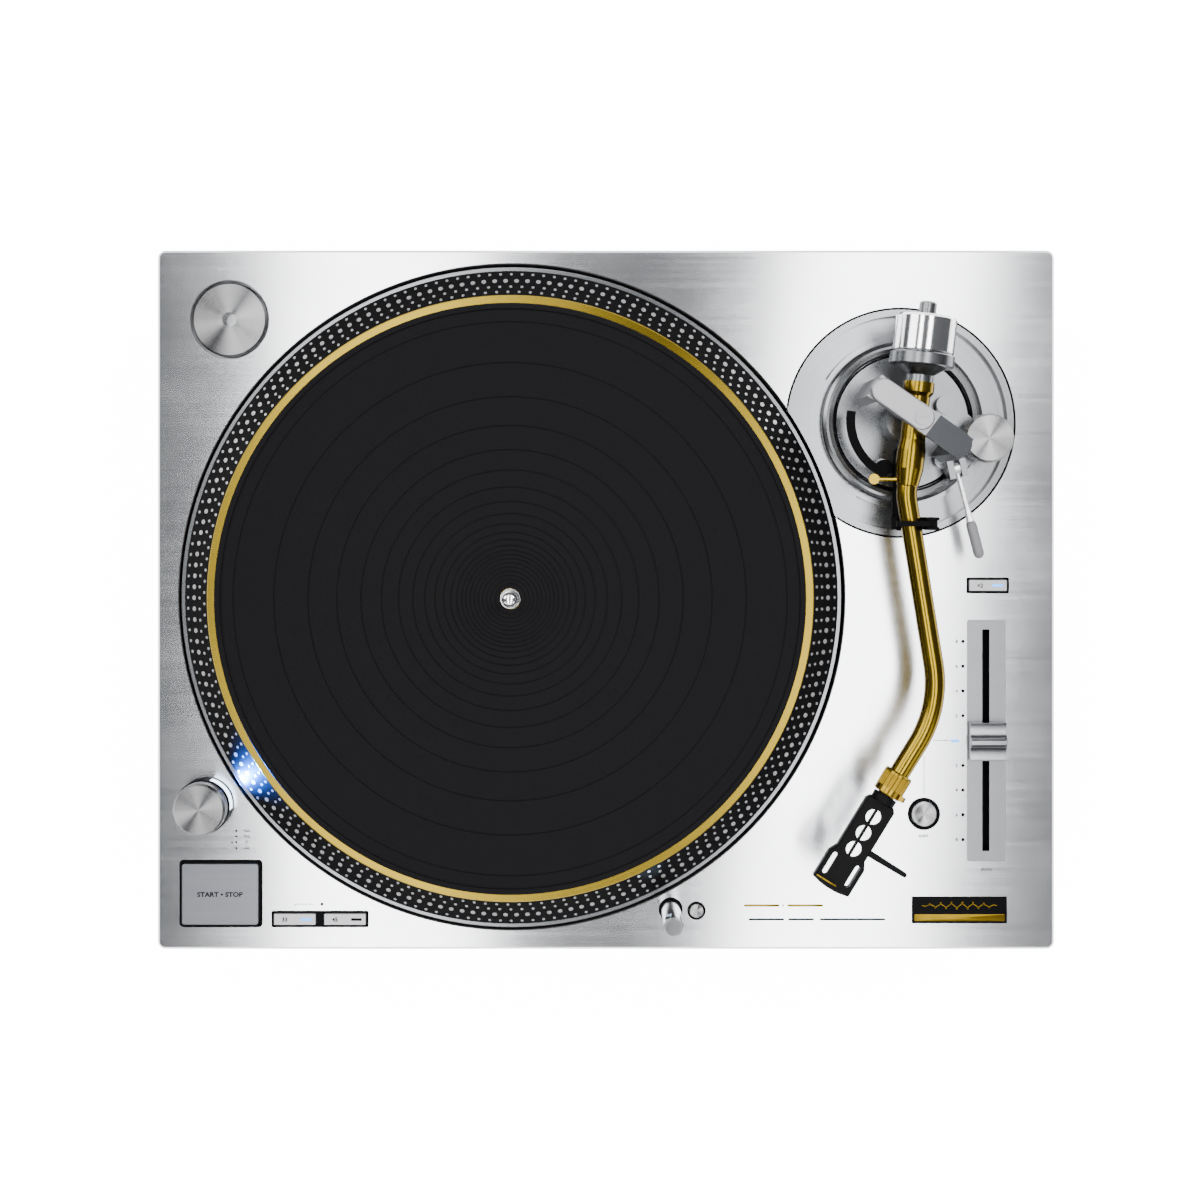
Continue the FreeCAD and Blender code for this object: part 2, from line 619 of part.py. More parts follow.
save("button_frames", make_button_frames())
save("start_stop_button", flat_button(START_STOP, START_SIZE, START_TOP, 1.5))
for name, place in zip(("speed_33_button", "speed_45_button"), speed_places()):
    save(name, flat_button(place, SPEED_SIZE, SPEED_TOP, 0.5))
save("range_button", flat_button(RANGE, RANGE_SIZE, SPEED_TOP, 0.5))
save("reset_button", dished_button(RESET, RESET_RADIUS, RESET_TOP))
save("lamp_button", dished_button(LAMP_BUTTON, LAMP_BUTTON_RADIUS, RESET_TOP))
save("strobe_tower", make_strobe_tower())
save("strobe_window", strobe_wedge(TOWER_RADIUS - WINDOW_DEPTH, TOWER_RADIUS - 0.2, DECK + 1.5,
    TOWER_TOP - 1.5))
save("power_knob", make_power_knob())
save("pitch_plate", pitch_plate)
save("pitch_rail", pitch_rail)
save("pitch_knob", make_pitch_knob())
save("target_lamp", make_target_lamp())
save("lamp_sleeve", tube(LAMP, LAMP_HOLE, LAMP_RADIUS + RUNNING, SLEEVE_BOTTOM, DECK + 0.4))
save("adaptor_45", turned(adaptor_profile, ADAPTOR))
save("name_plate", top_chamfered(block(PLATE, PLATE_SIZE.x, PLATE_SIZE.y, DECK - PLATE_DEPTH, DECK + 0.6),
    0.3))


# ---- Rear terminals and the electronics inside ----
JACK_RADIUS = 4.15
JACK_BODY = 3.0
JACK_SPACING = 16.0
PANEL_FACE = REAR - CHASSIS_WALL
TERMINAL_THICKNESS = 2.0
TERMINAL_LAP = V(6.0, 0, 4.0)
SOCKET_SLOT = V(30.0, 13.0, 6.0)
REARWARD = V(0, 1, 0)
TRAY_FLOOR = BASE_BOTTOM + BASE_FLOOR


def rear_block(x, z, size, low_y, high_y):
    """A box on the rear face, centred on x and z, between two depths."""
    return Part.makeBox(size.x, high_y - low_y, size.z, V(x - size.x / 2, low_y, z - size.z / 2))


def jack_places():
    """The two signal jacks' centres on the terminal panel."""
    return [V(SIGNAL.x + side * JACK_SPACING / 2 - 20.0, PANEL_FACE, REAR_WALL_Z) for side in (-1, 1)]


def make_rca_jack(place):
    """A signal jack: a flanged sleeve round a hollow contact."""
    length = CHASSIS_WALL - 0.4
    profile = [
        (1.7, -8.0), (JACK_BODY, -8.0), (JACK_BODY, 0), (JACK_RADIUS + 1.6, 0), (JACK_RADIUS + 1.6, 1.2),
        (JACK_RADIUS, 1.2), (JACK_RADIUS, length), (1.7, length),
    ]
    return turned(profile, place, REARWARD)


def ground_place():
    """The ground screw's centre on the terminal panel."""
    return V(SIGNAL.x + 26.0, PANEL_FACE, REAR_WALL_Z)


def make_ground_terminal():
    """The ground screw with its thumb nut."""
    profile = [(0, -6.0), (2.0, -6.0), (2.0, 0), (4.6, 0), (4.6, 4.4), (4.0, 5.0), (2.0, 5.0), (2.0, 6.4),
        (0, 6.4)]
    return turned(profile, ground_place(), REARWARD)


def make_terminal_panel():
    """The plate behind the rear window that holds the jacks and the ground screw."""
    size = SIGNAL_SIZE + TERMINAL_LAP
    plate = rear_block(SIGNAL.x, REAR_WALL_Z, size, PANEL_FACE - TERMINAL_THICKNESS, PANEL_FACE)
    holes = [rod(p - REARWARD * 5, p + REARWARD * 5, JACK_BODY + RUNNING) for p in jack_places()]
    holes.append(rod(ground_place() - REARWARD * 5, ground_place() + REARWARD * 5, 2.0 + RUNNING))
    return plate.cut(holes)


def make_ac_inlet():
    """The mains inlet: a cup with three blades."""
    body = rear_block(MAINS.x, REAR_WALL_Z, MAINS_SIZE, REAR - 24.0, REAR - 0.5)
    cavity = rear_block(MAINS.x, REAR_WALL_Z, V(24.4, 0, 16.6), REAR - 17.0, REAR)
    blades = [
        rear_block(MAINS.x + dx, REAR_WALL_Z + dz, V(2.0, 0, 4.0), REAR - 17.5, REAR - 4.0)
        for dx, dz in ((-7.0, -2.0), (7.0, -2.0), (0.0, 2.0))
    ]
    return body.cut(cavity).fuse(blades)


def make_hinge_sockets():
    """The two lined slots in the rear face that take a lid's hinges."""
    sockets = []
    for place in socket_places():
        body = rear_block(place.x, SOCKET_Z, SOCKET_SIZE, REAR - SOCKET_SIZE.y, REAR - 0.3)
        sockets.append(body.cut(rear_block(place.x, SOCKET_Z, SOCKET_SLOT, REAR - SOCKET_SLOT.y, REAR + 1)))
    return Part.makeCompound(sockets)


def board(centre, width, depth, low, chips):
    """A circuit board on corner posts with blocks for its larger components."""
    thickness = 1.6
    shape = block(centre, width, depth, low, low + thickness)
    parts = []
    for dx in (-1, 1):
        for dy in (-1, 1):
            parts.append(disc(centre + V(dx * (width / 2 - 5), dy * (depth / 2 - 5), 0), 3.0, TRAY_FLOOR,
                low))
    for x, y, w, d, h in chips:
        parts.append(block(centre + V(x, y, 0), w, d, low + thickness, low + thickness + h))
    return shape.fuse(parts)


CONTROL_CHIPS = [(-40, 10, 20, 20, 3), (5, -15, 14, 14, 2.5), (40, 20, 12, 24, 8), (-20, -28, 30, 8, 6),
    (50, -25, 16, 10, 10)]
SUPPLY_CHIPS = [(-25, 5, 36, 40, 28), (20, 20, 22, 18, 22), (25, -16, 26, 10, 18)]

save("terminal_panel", make_terminal_panel())
save("rca_jacks", Part.makeCompound([make_rca_jack(p) for p in jack_places()]))
save("ground_terminal", make_ground_terminal())
save("ac_inlet", make_ac_inlet())
save("hinge_sockets", make_hinge_sockets())
save("control_board", board(V(60.0, FRONT + 116.0, 0), 150.0, 90.0, TRAY_FLOOR + 24.0, CONTROL_CHIPS))
save("power_supply", board(V(LEFT + 116.0, 80.0, 0), 100.0, 70.0, TRAY_FLOOR + 10.0, SUPPLY_CHIPS))


# ---- Tonearm places ----
# Bearings are in degrees from +X, about the arm's upright axis. Runs are along the tube's middle line.
ARM_BEARING = 263.4
LIFT_BEARING = -35.0
TUBE_START = 26.0
TUBE_RUN_1 = 36.9
TUBE_BEARING_2 = 279.14
TUBE_RUN_2 = 103.2
HEAD_BEARING = 238.4
BEND_RADIUS_1 = 25.0
BEND_RADIUS_2 = 56.0
TUBE_END = 44.0
TUBE_WALL = 0.8
FORWARD = V(cos(radians(ARM_BEARING)), sin(radians(ARM_BEARING)), 0)
BACKWARD = FORWARD * -1
LIFT_AXIS = V(cos(radians(LIFT_BEARING)), sin(radians(LIFT_BEARING)), 0)
HEAD_AXIS = V(cos(radians(HEAD_BEARING)), sin(radians(HEAD_BEARING)), 0)
HEAD_SIDE = V(-HEAD_AXIS.y, HEAD_AXIS.x, 0)
CENTRE = at(PIVOT, AXIS_Z)
BEND_1 = CENTRE + FORWARD * TUBE_RUN_1
BEND_2 = polar(BEND_1, TUBE_RUN_2, TUBE_BEARING_2, AXIS_Z)

# ---- Tonearm base ----
GUIDE_RADIUS = 20.0
GUIDE_WALL = 4.0
PLATFORM_RADIUS = 34.0
RING_INNER = PLATFORM_RADIUS + 0.4
RING_OUTER = RING_INNER + 6.0
RING_TOP = DECK + 7.5
PLATFORM_LOW = DECK + 2.0
PLATFORM_TOP = DECK + 5.0
BRIDGE_LOW = RING_TOP + 0.5
BRIDGE_TOP = BRIDGE_LOW + 3.0
TROUGH = (43.0, 54.0)
TROUGH_DEPTH = 5.0
TROUGH_LAND = (150.0, 239.0)
PILLAR_RADIUS = 11.0
PILLAR_TOP = AXIS_Z - 16.0
PIN_RADIUS = 2.0
GIMBAL_OUTER = 13.5
GIMBAL_INNER = 10.5
GIMBAL_THICKNESS = 6.0
YOKE_REACH = 24.0
YOKE_LEG = 5.0
YOKE_WIDTH = 12.0
YOKE_STEP = 0.8
YOKE_DROP = 3.0
YOKE_UNDERSIDE = AXIS_Z + 14.5
YOKE_TOP = AXIS_Z + 19.0
SKATE = V(38.3, -8.7, 0)
SKATE_ANCHOR = V(20.3, 8.4, 0)
CUE = V(24.5, -23.5, 0)
CUE_BEARING = 283.15
CUE_PIVOT_Z = DECK + 18.0
CUE_LENGTH = 45.3
CUE_RISE = 6.0
CUE_PIN = 1.5
LIFTER = V(-12.5, -23.0, 0)
LIFTER_ARC = (27.0, 31.0)
LIFTER_ANGLES = (171.0, 247.0)
LIFTER_TOP = AXIS_Z - BARREL_RADIUS - 5.25
LIFTER_THICKNESS = 3.5
LIFTER_POST = 2.2
REST = V(-2.2, -50.3, 0)
REST_DEPTH = 6.0
CLAMP_LENGTH = 17.5
CLAMP_UNDERSIDE = AXIS_Z + TUBE_RADIUS + 4.9


def from_pivot(offset):
    """The plan point at an offset from the arm's upright axis."""
    return V(PIVOT.x + offset.x, PIVOT.y + offset.y, 0)


def sector(inner, outer, low, high, start, end):
    """A part of a ring round the arm's upright axis, between two bearings."""
    corners = [PIVOT]
    steps = 4
    for index in range(steps + 1):
        corners.append(polar(PIVOT, 2 * outer, start + (end - start) * index / steps))
    return tube(PIVOT, outer, inner, low, high).common(prism(corners, low, high))


def placed(shape, origin, axis):
    """A copy of an upright shape built at zero, with its axis turned and moved."""
    copy = shape.copy()
    copy.Placement = FreeCAD.Placement(origin, FreeCAD.Rotation(UP, axis))
    return copy


def make_arm_base():
    """The round base in the deck: a troughed disc with the sleeve that guides the arm's platform."""
    base = disc(PIVOT, ARM_BASE_RADIUS, PANEL_BOTTOM, DECK)
    base = fluted(base, PIVOT, ARM_BASE_RADIUS + 0.4, 120, 0.9, DECK - 4.0, DECK + 1)
    trough = tube(PIVOT, TROUGH[1], TROUGH[0], DECK - TROUGH_DEPTH, DECK + 1)
    trough = trough.cut(sector(TROUGH[0] - 1, TROUGH[1] + 1, DECK - TROUGH_DEPTH - 1, DECK + 2, *TROUGH_LAND))
    base = base.fuse(disc(PIVOT, ARM_SLEEVE_RADIUS, DECK - 28.0, PANEL_BOTTOM))
    return base.cut([trough, disc(PIVOT, GUIDE_RADIUS + RUNNING, DECK - 29.0, DECK + 1), WELL])


def make_height_ring():
    """The knurled ring that raises the platform, with a rounded top."""
    profile = [
        (RING_INNER, DECK + GAP), (RING_OUTER, DECK + GAP), (RING_OUTER, RING_TOP - 2.4),
            (RING_OUTER - 0.6, RING_TOP - 1.1),
        (RING_OUTER - 2.0, RING_TOP - 0.2), (RING_OUTER - 3.2, RING_TOP),
            (RING_INNER + 0.8, RING_TOP - 0.4), (RING_INNER, RING_TOP - 1.2),
    ]
    return fluted(turned(profile, PIVOT), PIVOT, RING_OUTER + 0.3, 72, 0.7, DECK + 1.0, RING_TOP - 2.8)


def yoke_leg(side, low, high, margin=0.0):
    """One upright leg of the yoke, or the hole for it when there is a margin."""
    reach = YOKE_REACH * side
    leg = block(V(), YOKE_LEG + 2 * margin, YOKE_WIDTH + 2 * margin, low, high)
    leg.rotate(V(), UP, LIFT_BEARING)
    leg.translate(PIVOT + LIFT_AXIS * reach)
    return leg


def make_arm_platform():
    """The platform that rises and falls: disc, guide tube, bearing pillar and lifter boss."""
    guide = tube(PIVOT, GUIDE_RADIUS, GUIDE_RADIUS - GUIDE_WALL, DECK - 26.0, PLATFORM_LOW)
    lifter = from_pivot(LIFTER)
    shape = disc(PIVOT, PLATFORM_RADIUS, PLATFORM_LOW, PLATFORM_TOP).fuse([
        guide,
        disc(PIVOT, PILLAR_RADIUS, PLATFORM_TOP, PILLAR_TOP),
        disc(lifter, 2 * LIFTER_POST, PLATFORM_TOP, LIFTER_TOP - LIFTER_THICKNESS - 4.0),
    ])
    bores = [
        disc(PIVOT, PIN_RADIUS + RUNNING, PILLAR_TOP - 4.0, PILLAR_TOP + 1),
        disc(lifter, LIFTER_POST + RUNNING, PLATFORM_TOP + 0.5, LIFTER_TOP),
    ]
    return shape.cut(bores)


def yoke_fall():
    """The wedge taken off the top of the yoke's right half, which falls towards its leg."""
    reach = YOKE_REACH + YOKE_WIDTH
    corners = [(0, YOKE_TOP - YOKE_STEP), (reach, YOKE_TOP - YOKE_DROP), (reach, YOKE_TOP + 1), (0, YOKE_TOP + 1)]
    across = LIFT_AXIS.cross(UP) * YOKE_WIDTH
    outline = [at(PIVOT + LIFT_AXIS * s, z) - across for s, z in corners]
    return Part.Face(Part.makePolygon(outline + outline[:1])).extrude(across * 2)


def make_arm_yoke():
    """The bridge over the gimbal: two legs, a bar, a boss and the top bearing's screw."""
    bar_shape = bar(PIVOT - LIFT_AXIS * (YOKE_REACH - 2), PIVOT + LIFT_AXIS * (YOKE_REACH - 2), YOKE_WIDTH,
        YOKE_UNDERSIDE, YOKE_TOP)
    boss = top_filleted(disc(PIVOT, YOKE_WIDTH / 2, YOKE_UNDERSIDE, YOKE_TOP), 0.8)
    bar_shape = top_filleted(bar_shape, 1.2).cut(yoke_fall()).fuse(boss)
    legs = [yoke_leg(s, PLATFORM_TOP, YOKE_UNDERSIDE + 0.5) for s in (-1, 1)]
    screw = disc(PIVOT, 3.5, YOKE_TOP,
        YOKE_TOP + 0.6).cut(block(PIVOT, 8.0, 0.9, YOKE_TOP + 0.2, YOKE_TOP + 1))
    bore = disc(PIVOT, PIN_RADIUS + RUNNING, YOKE_UNDERSIDE - 1, YOKE_TOP - 1.0)
    return bar_shape.fuse(legs + [screw]).cut(bore)


def make_gimbal_ring():
    """The upright ring that swings in the yoke and carries the arm's cross pins."""
    half = GIMBAL_THICKNESS / 2
    across = LIFT_AXIS.cross(UP)
    ring = turned([(GIMBAL_INNER, -half), (GIMBAL_OUTER, -half), (GIMBAL_OUTER, half),
        (GIMBAL_INNER, half)], CENTRE, across)
    ring = ring.fuse([
        disc(PIVOT, PIN_RADIUS, AXIS_Z + GIMBAL_OUTER - 1, YOKE_TOP - 1.5),
        disc(PIVOT, PIN_RADIUS, PILLAR_TOP - 3.0, AXIS_Z - GIMBAL_OUTER + 1),
    ])
    return ring.cut(rod(CENTRE - LIFT_AXIS * 20, CENTRE + LIFT_AXIS * 20, CROSS_PIN + RUNNING))


CROSS_PIN = 1.6
BARREL_REAR = -17.9
BARREL_FRONT = 32.5


def make_arm_barrel():
    """The brass-coloured pivot barrel, with its cross pins and the side finger."""
    profile = [
        (0, BARREL_REAR), (7.4, BARREL_REAR), (7.4, -13.0), (6.0, -11.0), (6.0, 10.0),
            (BARREL_RADIUS, 15.0), (BARREL_RADIUS, 24.0),
        (TUBE_RADIUS + 0.5, BARREL_FRONT - 0.5), (TUBE_RADIUS + 0.1, BARREL_FRONT),
            (TUBE_RADIUS, BARREL_FRONT), (TUBE_RADIUS, TUBE_START), (0, TUBE_START),
    ]
    barrel = turned(profile, CENTRE, FORWARD)
    finger_end = CENTRE + V(-19.9, -28.9, 0)
    finger_root = CENTRE + FORWARD * 29.2 + V(-5.0, 0, 0)
    return barrel.fuse([
        rod(CENTRE - LIFT_AXIS * (GIMBAL_OUTER - 1), CENTRE + LIFT_AXIS * (GIMBAL_OUTER - 1), CROSS_PIN),
        rod(finger_root, finger_end, 1.1),
        disc(finger_end, 2.5, AXIS_Z - 1.4, AXIS_Z + 1.6),
    ])


def bent_path(points, radii):
    """A wire of straight runs joined by tangent arcs at the inner points."""
    edges = []
    start = points[0]
    for before, corner, after, radius in zip(points, points[1:], points[2:], radii):
        to_start = (before - corner).normalize()
        to_end = (after - corner).normalize()
        half = to_start.getAngle(to_end) / 2
        reach = radius / tan(half)
        bisector = (to_start + to_end).normalize()
        middle = corner + bisector * (radius / sin(half) - radius)
        arc_start = corner + to_start * reach
        arc_end = corner + to_end * reach
        edges.append(Part.makeLine(start, arc_start))
        edges.append(Part.Arc(arc_start, middle, arc_end).toShape())
        start = arc_end
    edges.append(Part.makeLine(start, points[-1]))
    return Part.Wire(edges)


def pipe(path, radius, direction):
    """A round solid swept along a path whose first run has the given direction."""
    start = path.OrderedVertexes[0].Point
    section = Part.Wire(Part.makeCircle(radius, start, direction))
    return path.makePipeShell([section], True, False)


def make_arm_tube():
    """The thin-walled S-shaped tube, with an open front end."""
    points = [CENTRE + FORWARD * TUBE_START, BEND_1, BEND_2, BEND_2 + HEAD_AXIS * TUBE_END]
    path = bent_path(points, [BEND_RADIUS_1, BEND_RADIUS_2])
    return pipe(path, TUBE_RADIUS, FORWARD).cut(pipe(path, TUBE_RADIUS - TUBE_WALL, FORWARD))


# ---- Counterweight, from the pivot to the rear ----
NUT = (17.9, 21.1)
SHAFT_END = 56.8
REAR_SHAFT_RADIUS = 4.15
DIAL = (21.5, 31.6)
DIAL_RADIUS = 15.5
WEIGHT = (31.9, 49.8)
BUSH_RADIUS = 8.0
HUB = 10.5


def make_rear_shaft():
    """The threaded rear shaft and its collar."""
    profile = [
        (0, NUT[0]), (6.5, NUT[0]), (6.5, NUT[1]), (REAR_SHAFT_RADIUS, NUT[1]),
            (REAR_SHAFT_RADIUS, SHAFT_END - 0.8),
        (REAR_SHAFT_RADIUS - 0.8, SHAFT_END), (0, SHAFT_END),
    ]
    return turned(profile, CENTRE, BACKWARD)


def make_counterweight():
    """The weight, with a front hub that the dial turns on."""
    bore = BUSH_RADIUS + RUNNING
    front = DIAL[1] - 5.4
    profile = [
        (bore, front), (HUB, front), (HUB, WEIGHT[0]), (WEIGHT_RADIUS - 0.8, WEIGHT[0]),
            (WEIGHT_RADIUS, WEIGHT[0] + 0.8),
        (WEIGHT_RADIUS, WEIGHT[1] - 1.2), (WEIGHT_RADIUS - 1.2, WEIGHT[1]),
            (REAR_SHAFT_RADIUS + 0.3, WEIGHT[1]),
        (REAR_SHAFT_RADIUS + 0.3, WEIGHT[1] - 1.2), (bore, WEIGHT[1] - 1.2),
    ]
    return turned(profile, CENTRE, BACKWARD)


def make_weight_bush():
    """The threaded bush between the shaft and the weight."""
    low = DIAL[1] - 5.0
    high = WEIGHT[1] - 1.4
    inner = REAR_SHAFT_RADIUS + RUNNING
    return turned([(inner, low), (BUSH_RADIUS, low), (BUSH_RADIUS, high), (inner, high)], CENTRE, BACKWARD)


def make_force_dial():
    """The stylus-force dial: a ring with a coned front."""
    front = DIAL[0]
    rear = DIAL[1]
    face = rear - 5.7
    profile = [
        (REAR_SHAFT_RADIUS + 0.3, front), (6.5, front), (12.0, front + 3.9),
            (DIAL_RADIUS - 0.5, front + 4.1), (DIAL_RADIUS, front + 4.6),
        (DIAL_RADIUS, rear - 0.5), (DIAL_RADIUS - 0.5, rear), (HUB + RUNNING, rear), (HUB + RUNNING, face),
            (REAR_SHAFT_RADIUS + 0.3, face),
    ]
    return turned(profile, CENTRE, BACKWARD)


# ---- Head ----
COLLAR = (37.45, 49.45)
STEM_RADIUS = TUBE_RADIUS - TUBE_WALL - 0.1
STEM_START = 34.0
SHELL = (53.5, 102.5)
SHELL_NECK = 7.8
SHELL_HALF = 9.9
SHELL_LOW = AXIS_Z - 2.0
SHELL_TOP = AXIS_Z + 2.5
SHELL_SKIN = 2.0
SLOT_SPACING = 12.7
SLOT_WIDTH = 2.5
SLOT_LENGTH = 11.8
FINGER_LENGTH = 20.8
FINGER_ROOT = 1.6
FINGER_TIP = 1.2
FINGER_THICKNESS = 1.4


def head_point(along, side, z=AXIS_Z):
    """A point at a distance along and across the headshell's line."""
    point = BEND_2 + HEAD_AXIS * along + HEAD_SIDE * side
    return at(point, z)


def make_locking_collar():
    """The knurled collar that locks the headshell, with its tab."""
    mouth = STEM_RADIUS + 1.0
    inner = TUBE_RADIUS + RUNNING
    step = TUBE_END + 0.3
    profile = [
        (inner, COLLAR[0]), (COLLAR_RADIUS - 0.6, COLLAR[0]), (COLLAR_RADIUS, COLLAR[0] + 0.6),
            (COLLAR_RADIUS, COLLAR[1] - 0.6),
        (COLLAR_RADIUS - 0.6, COLLAR[1]), (mouth, COLLAR[1]), (mouth, step), (inner, step),
    ]
    collar = fluted(turned(profile, V()), V(), COLLAR_RADIUS + 0.2, 40, 0.5, COLLAR[0] + 1.6, COLLAR[1] - 3.4)
    tab = Part.makeBox(3.0, 3.0, 2.6, V(COLLAR_RADIUS - 1.0, -1.5, COLLAR[1] - 3.2))
    return placed(collar.fuse(tab), BEND_2, HEAD_AXIS)


def make_headshell():
    """The plug-in headshell: a slim tray with three round holes and two slots."""
    start = SHELL[0]
    end = SHELL[1]
    corner = end - 1.5
    left = [(start, SHELL_NECK - 1.5), (start + 2.0, SHELL_NECK), (end - 20.0, SHELL_NECK),
        (end - 16.0, SHELL_HALF), (corner, SHELL_HALF)]
    points = [head_point(a, s, SHELL_LOW) for a, s in left]
    back = [head_point(a, -s, SHELL_LOW) for a, s in reversed(left)]
    edges = [Part.makeLine(p, q) for p, q in zip(points, points[1:])]
    edges.append(Part.Arc(points[-1], head_point(end, 0, SHELL_LOW), back[0]).toShape())
    edges += [Part.makeLine(p, q) for p, q in zip(back, back[1:])]
    edges.append(Part.makeLine(back[-1], points[0]))
    shell = Part.Face(Part.Wire(edges)).extrude(V(0, 0, SHELL_TOP - SHELL_LOW))
    shell = top_chamfered(shell, 0.7)
    skin = SHELL_TOP - SHELL_SKIN
    pocket = bar(head_point(start + 3, 0), head_point(end - 3, 0), 2 * SHELL_NECK - 3.2, SHELL_LOW - 1,
        skin, False)
    holes = [disc(head_point(start + 8.5 + 9.0 * i, 0), 3.8, SHELL_LOW - 1, SHELL_TOP + 1) for i in range(3)]
    slot_start = end - 5.0 - SLOT_LENGTH + SLOT_WIDTH / 2
    slot_end = end - 5.0 - SLOT_WIDTH / 2
    for side in (-1, 1):
        across = side * SLOT_SPACING / 2
        holes.append(bar(head_point(slot_start, across), head_point(slot_end, across), SLOT_WIDTH,
            SHELL_LOW - 1, SHELL_TOP + 1))
    shell = shell.cut([pocket] + holes)
    stem = rod(head_point(STEM_START, 0), head_point(start + 0.5, 0), STEM_RADIUS)
    stop = turned([(0, COLLAR[1] + 0.7), (6.0, COLLAR[1] + 0.7), (6.0, start), (0, start)], BEND_2, HEAD_AXIS)
    rib = bar(head_point(start + 2.0, 0), head_point(start + 31.0, 0), 1.2, SHELL_LOW + 0.5, skin, False)
    return shell.fuse([stem, stop]).cut(pocket).fuse(rib)


def make_finger_lift():
    """The slim lift that stands out from the middle of the headshell's side."""
    root = (SHELL[0] + SHELL[1]) / 2
    outer = SHELL_NECK + FINGER_LENGTH
    low = AXIS_Z + 0.2
    high = low + FINGER_THICKNESS
    outline = [
        head_point(root - FINGER_ROOT, SHELL_NECK), head_point(root + FINGER_ROOT, SHELL_NECK),
        head_point(root + FINGER_TIP, outer - FINGER_TIP), head_point(root - FINGER_TIP, outer - FINGER_TIP),
    ]
    return prism(outline, low, high).fuse(disc(head_point(root, outer - FINGER_TIP), FINGER_TIP, low, high))


# ---- Anti-skate, cue lever and rest ----
KNOB_LOW = DECK + 20.0
KNOB_TOP = DECK + 30.0
CUE_LINE = V(cos(radians(CUE_BEARING)), sin(radians(CUE_BEARING)), 0)
CUE_ACROSS = V(-CUE_LINE.y, CUE_LINE.x, 0)
CUE_SLOT = 3.2
CUE_GRIP = 2.6
CUE_GRIP_LENGTH = 14.0
CUE_CONE = 8.5
CUE_ROD = 1.2


def make_antiskate_base():
    """The bracket for the anti-skate knob and the cue lever's pivot, beside the yoke."""
    knob = from_pivot(SKATE)
    anchor = from_pivot(SKATE_ANCHOR)
    cue = from_pivot(CUE)
    inner = from_pivot(CUE * 0.8)
    plate = prism([knob, anchor, cue], BRIDGE_LOW, BRIDGE_TOP).fuse([
        bar(knob, anchor, 9.0, BRIDGE_LOW, BRIDGE_TOP),
        bar(anchor, cue, 9.0, BRIDGE_LOW, BRIDGE_TOP),
        bar(cue, knob, 9.0, BRIDGE_LOW, BRIDGE_TOP),
        disc(knob, KNOB_RADIUS - 1.5, BRIDGE_LOW, KNOB_LOW - GAP),
        disc(anchor, 4.5, PLATFORM_TOP, BRIDGE_TOP + 1.5),
        disc(inner, 4.5, PLATFORM_TOP, BRIDGE_TOP),
    ])
    tower = block(V(), 9.0, CUE_SLOT + 6.0, BRIDGE_TOP - 1, CUE_PIVOT_Z + 3.5)
    tower = tower.cut(block(V(), 20.0, CUE_SLOT, BRIDGE_TOP + 1.0, CUE_PIVOT_Z + 5))
    tower.rotate(V(), UP, CUE_BEARING)
    tower.translate(cue)
    pivot = at(cue, CUE_PIVOT_Z)
    return plate.fuse(tower).cut([
        rod(pivot - CUE_ACROSS * 10, pivot + CUE_ACROSS * 10, CUE_PIN + RUNNING),
        disc(knob, 3.0 + RUNNING, KNOB_LOW - 8.0, KNOB_LOW + 1),
        yoke_leg(1, DECK, AXIS_Z, 0.1),
        disc(PIVOT, PILLAR_RADIUS + 0.1, DECK, AXIS_Z),
    ])


def make_antiskate_knob():
    """The fluted anti-skate knob, with a stem and two index dashes."""
    place = from_pivot(SKATE)
    profile = [
        (0, KNOB_LOW - 7.0), (3.0, KNOB_LOW - 7.0), (3.0, KNOB_LOW), (KNOB_RADIUS, KNOB_LOW),
            (KNOB_RADIUS, KNOB_TOP - 1.0),
        (KNOB_RADIUS - 1.0, KNOB_TOP), (0, KNOB_TOP),
    ]
    knob = fluted(turned(profile, place), place, KNOB_RADIUS + 0.3, 60, 0.6, KNOB_LOW + 0.8, KNOB_TOP - 1.6)
    dashes = [bar(polar(place, 8.2, a), polar(place, 10.4, a), 0.7, KNOB_TOP - 0.3,
        KNOB_TOP + 1) for a in (90.0, 270.0)]
    return knob.cut(dashes)


def make_cue_lever():
    """The cue lever: knuckle, pin, thin rod and grip."""
    pivot = at(from_pivot(CUE), CUE_PIVOT_Z)
    tip = pivot + CUE_LINE * (CUE_LENGTH - CUE_GRIP) + V(0, 0, CUE_RISE)
    line = (tip - pivot).normalize()
    half = CUE_SLOT / 2 - 0.3
    grip_start = tip - line * CUE_GRIP_LENGTH
    pin_half = CUE_SLOT / 2 + 2.8
    return rod(pivot - CUE_ACROSS * pin_half, pivot + CUE_ACROSS * pin_half, CUE_PIN).fuse([
        rod(pivot - CUE_ACROSS * half, pivot + CUE_ACROSS * half, 3.0),
        rod(pivot, grip_start + line, CUE_ROD),
        rod(grip_start, tip, CUE_GRIP),
        Part.makeCone(CUE_ROD, CUE_GRIP - 0.3, CUE_CONE, grip_start - line * CUE_CONE, line),
        Part.makeSphere(CUE_GRIP, tip),
        Part.makeSphere(CUE_GRIP, grip_start),
    ])


def make_cue_lifter():
    """The curved bar that raises the arm, on its sliding post."""
    place = from_pivot(LIFTER)
    low = LIFTER_TOP - LIFTER_THICKNESS
    arc = sector(LIFTER_ARC[0], LIFTER_ARC[1], low, LIFTER_TOP, *LIFTER_ANGLES)
    return arc.fuse([disc(place, 2 * LIFTER_POST - 0.6, low, LIFTER_TOP),
        disc(place, LIFTER_POST, PLATFORM_TOP + 1.0, LIFTER_TOP)])


REST_RIGHT = (3.9, 9.4)
REST_LEFT = (-10.4, -7.6)
CLAMP_PIN = 0.8
CLAMP_WIDTH = 2.5


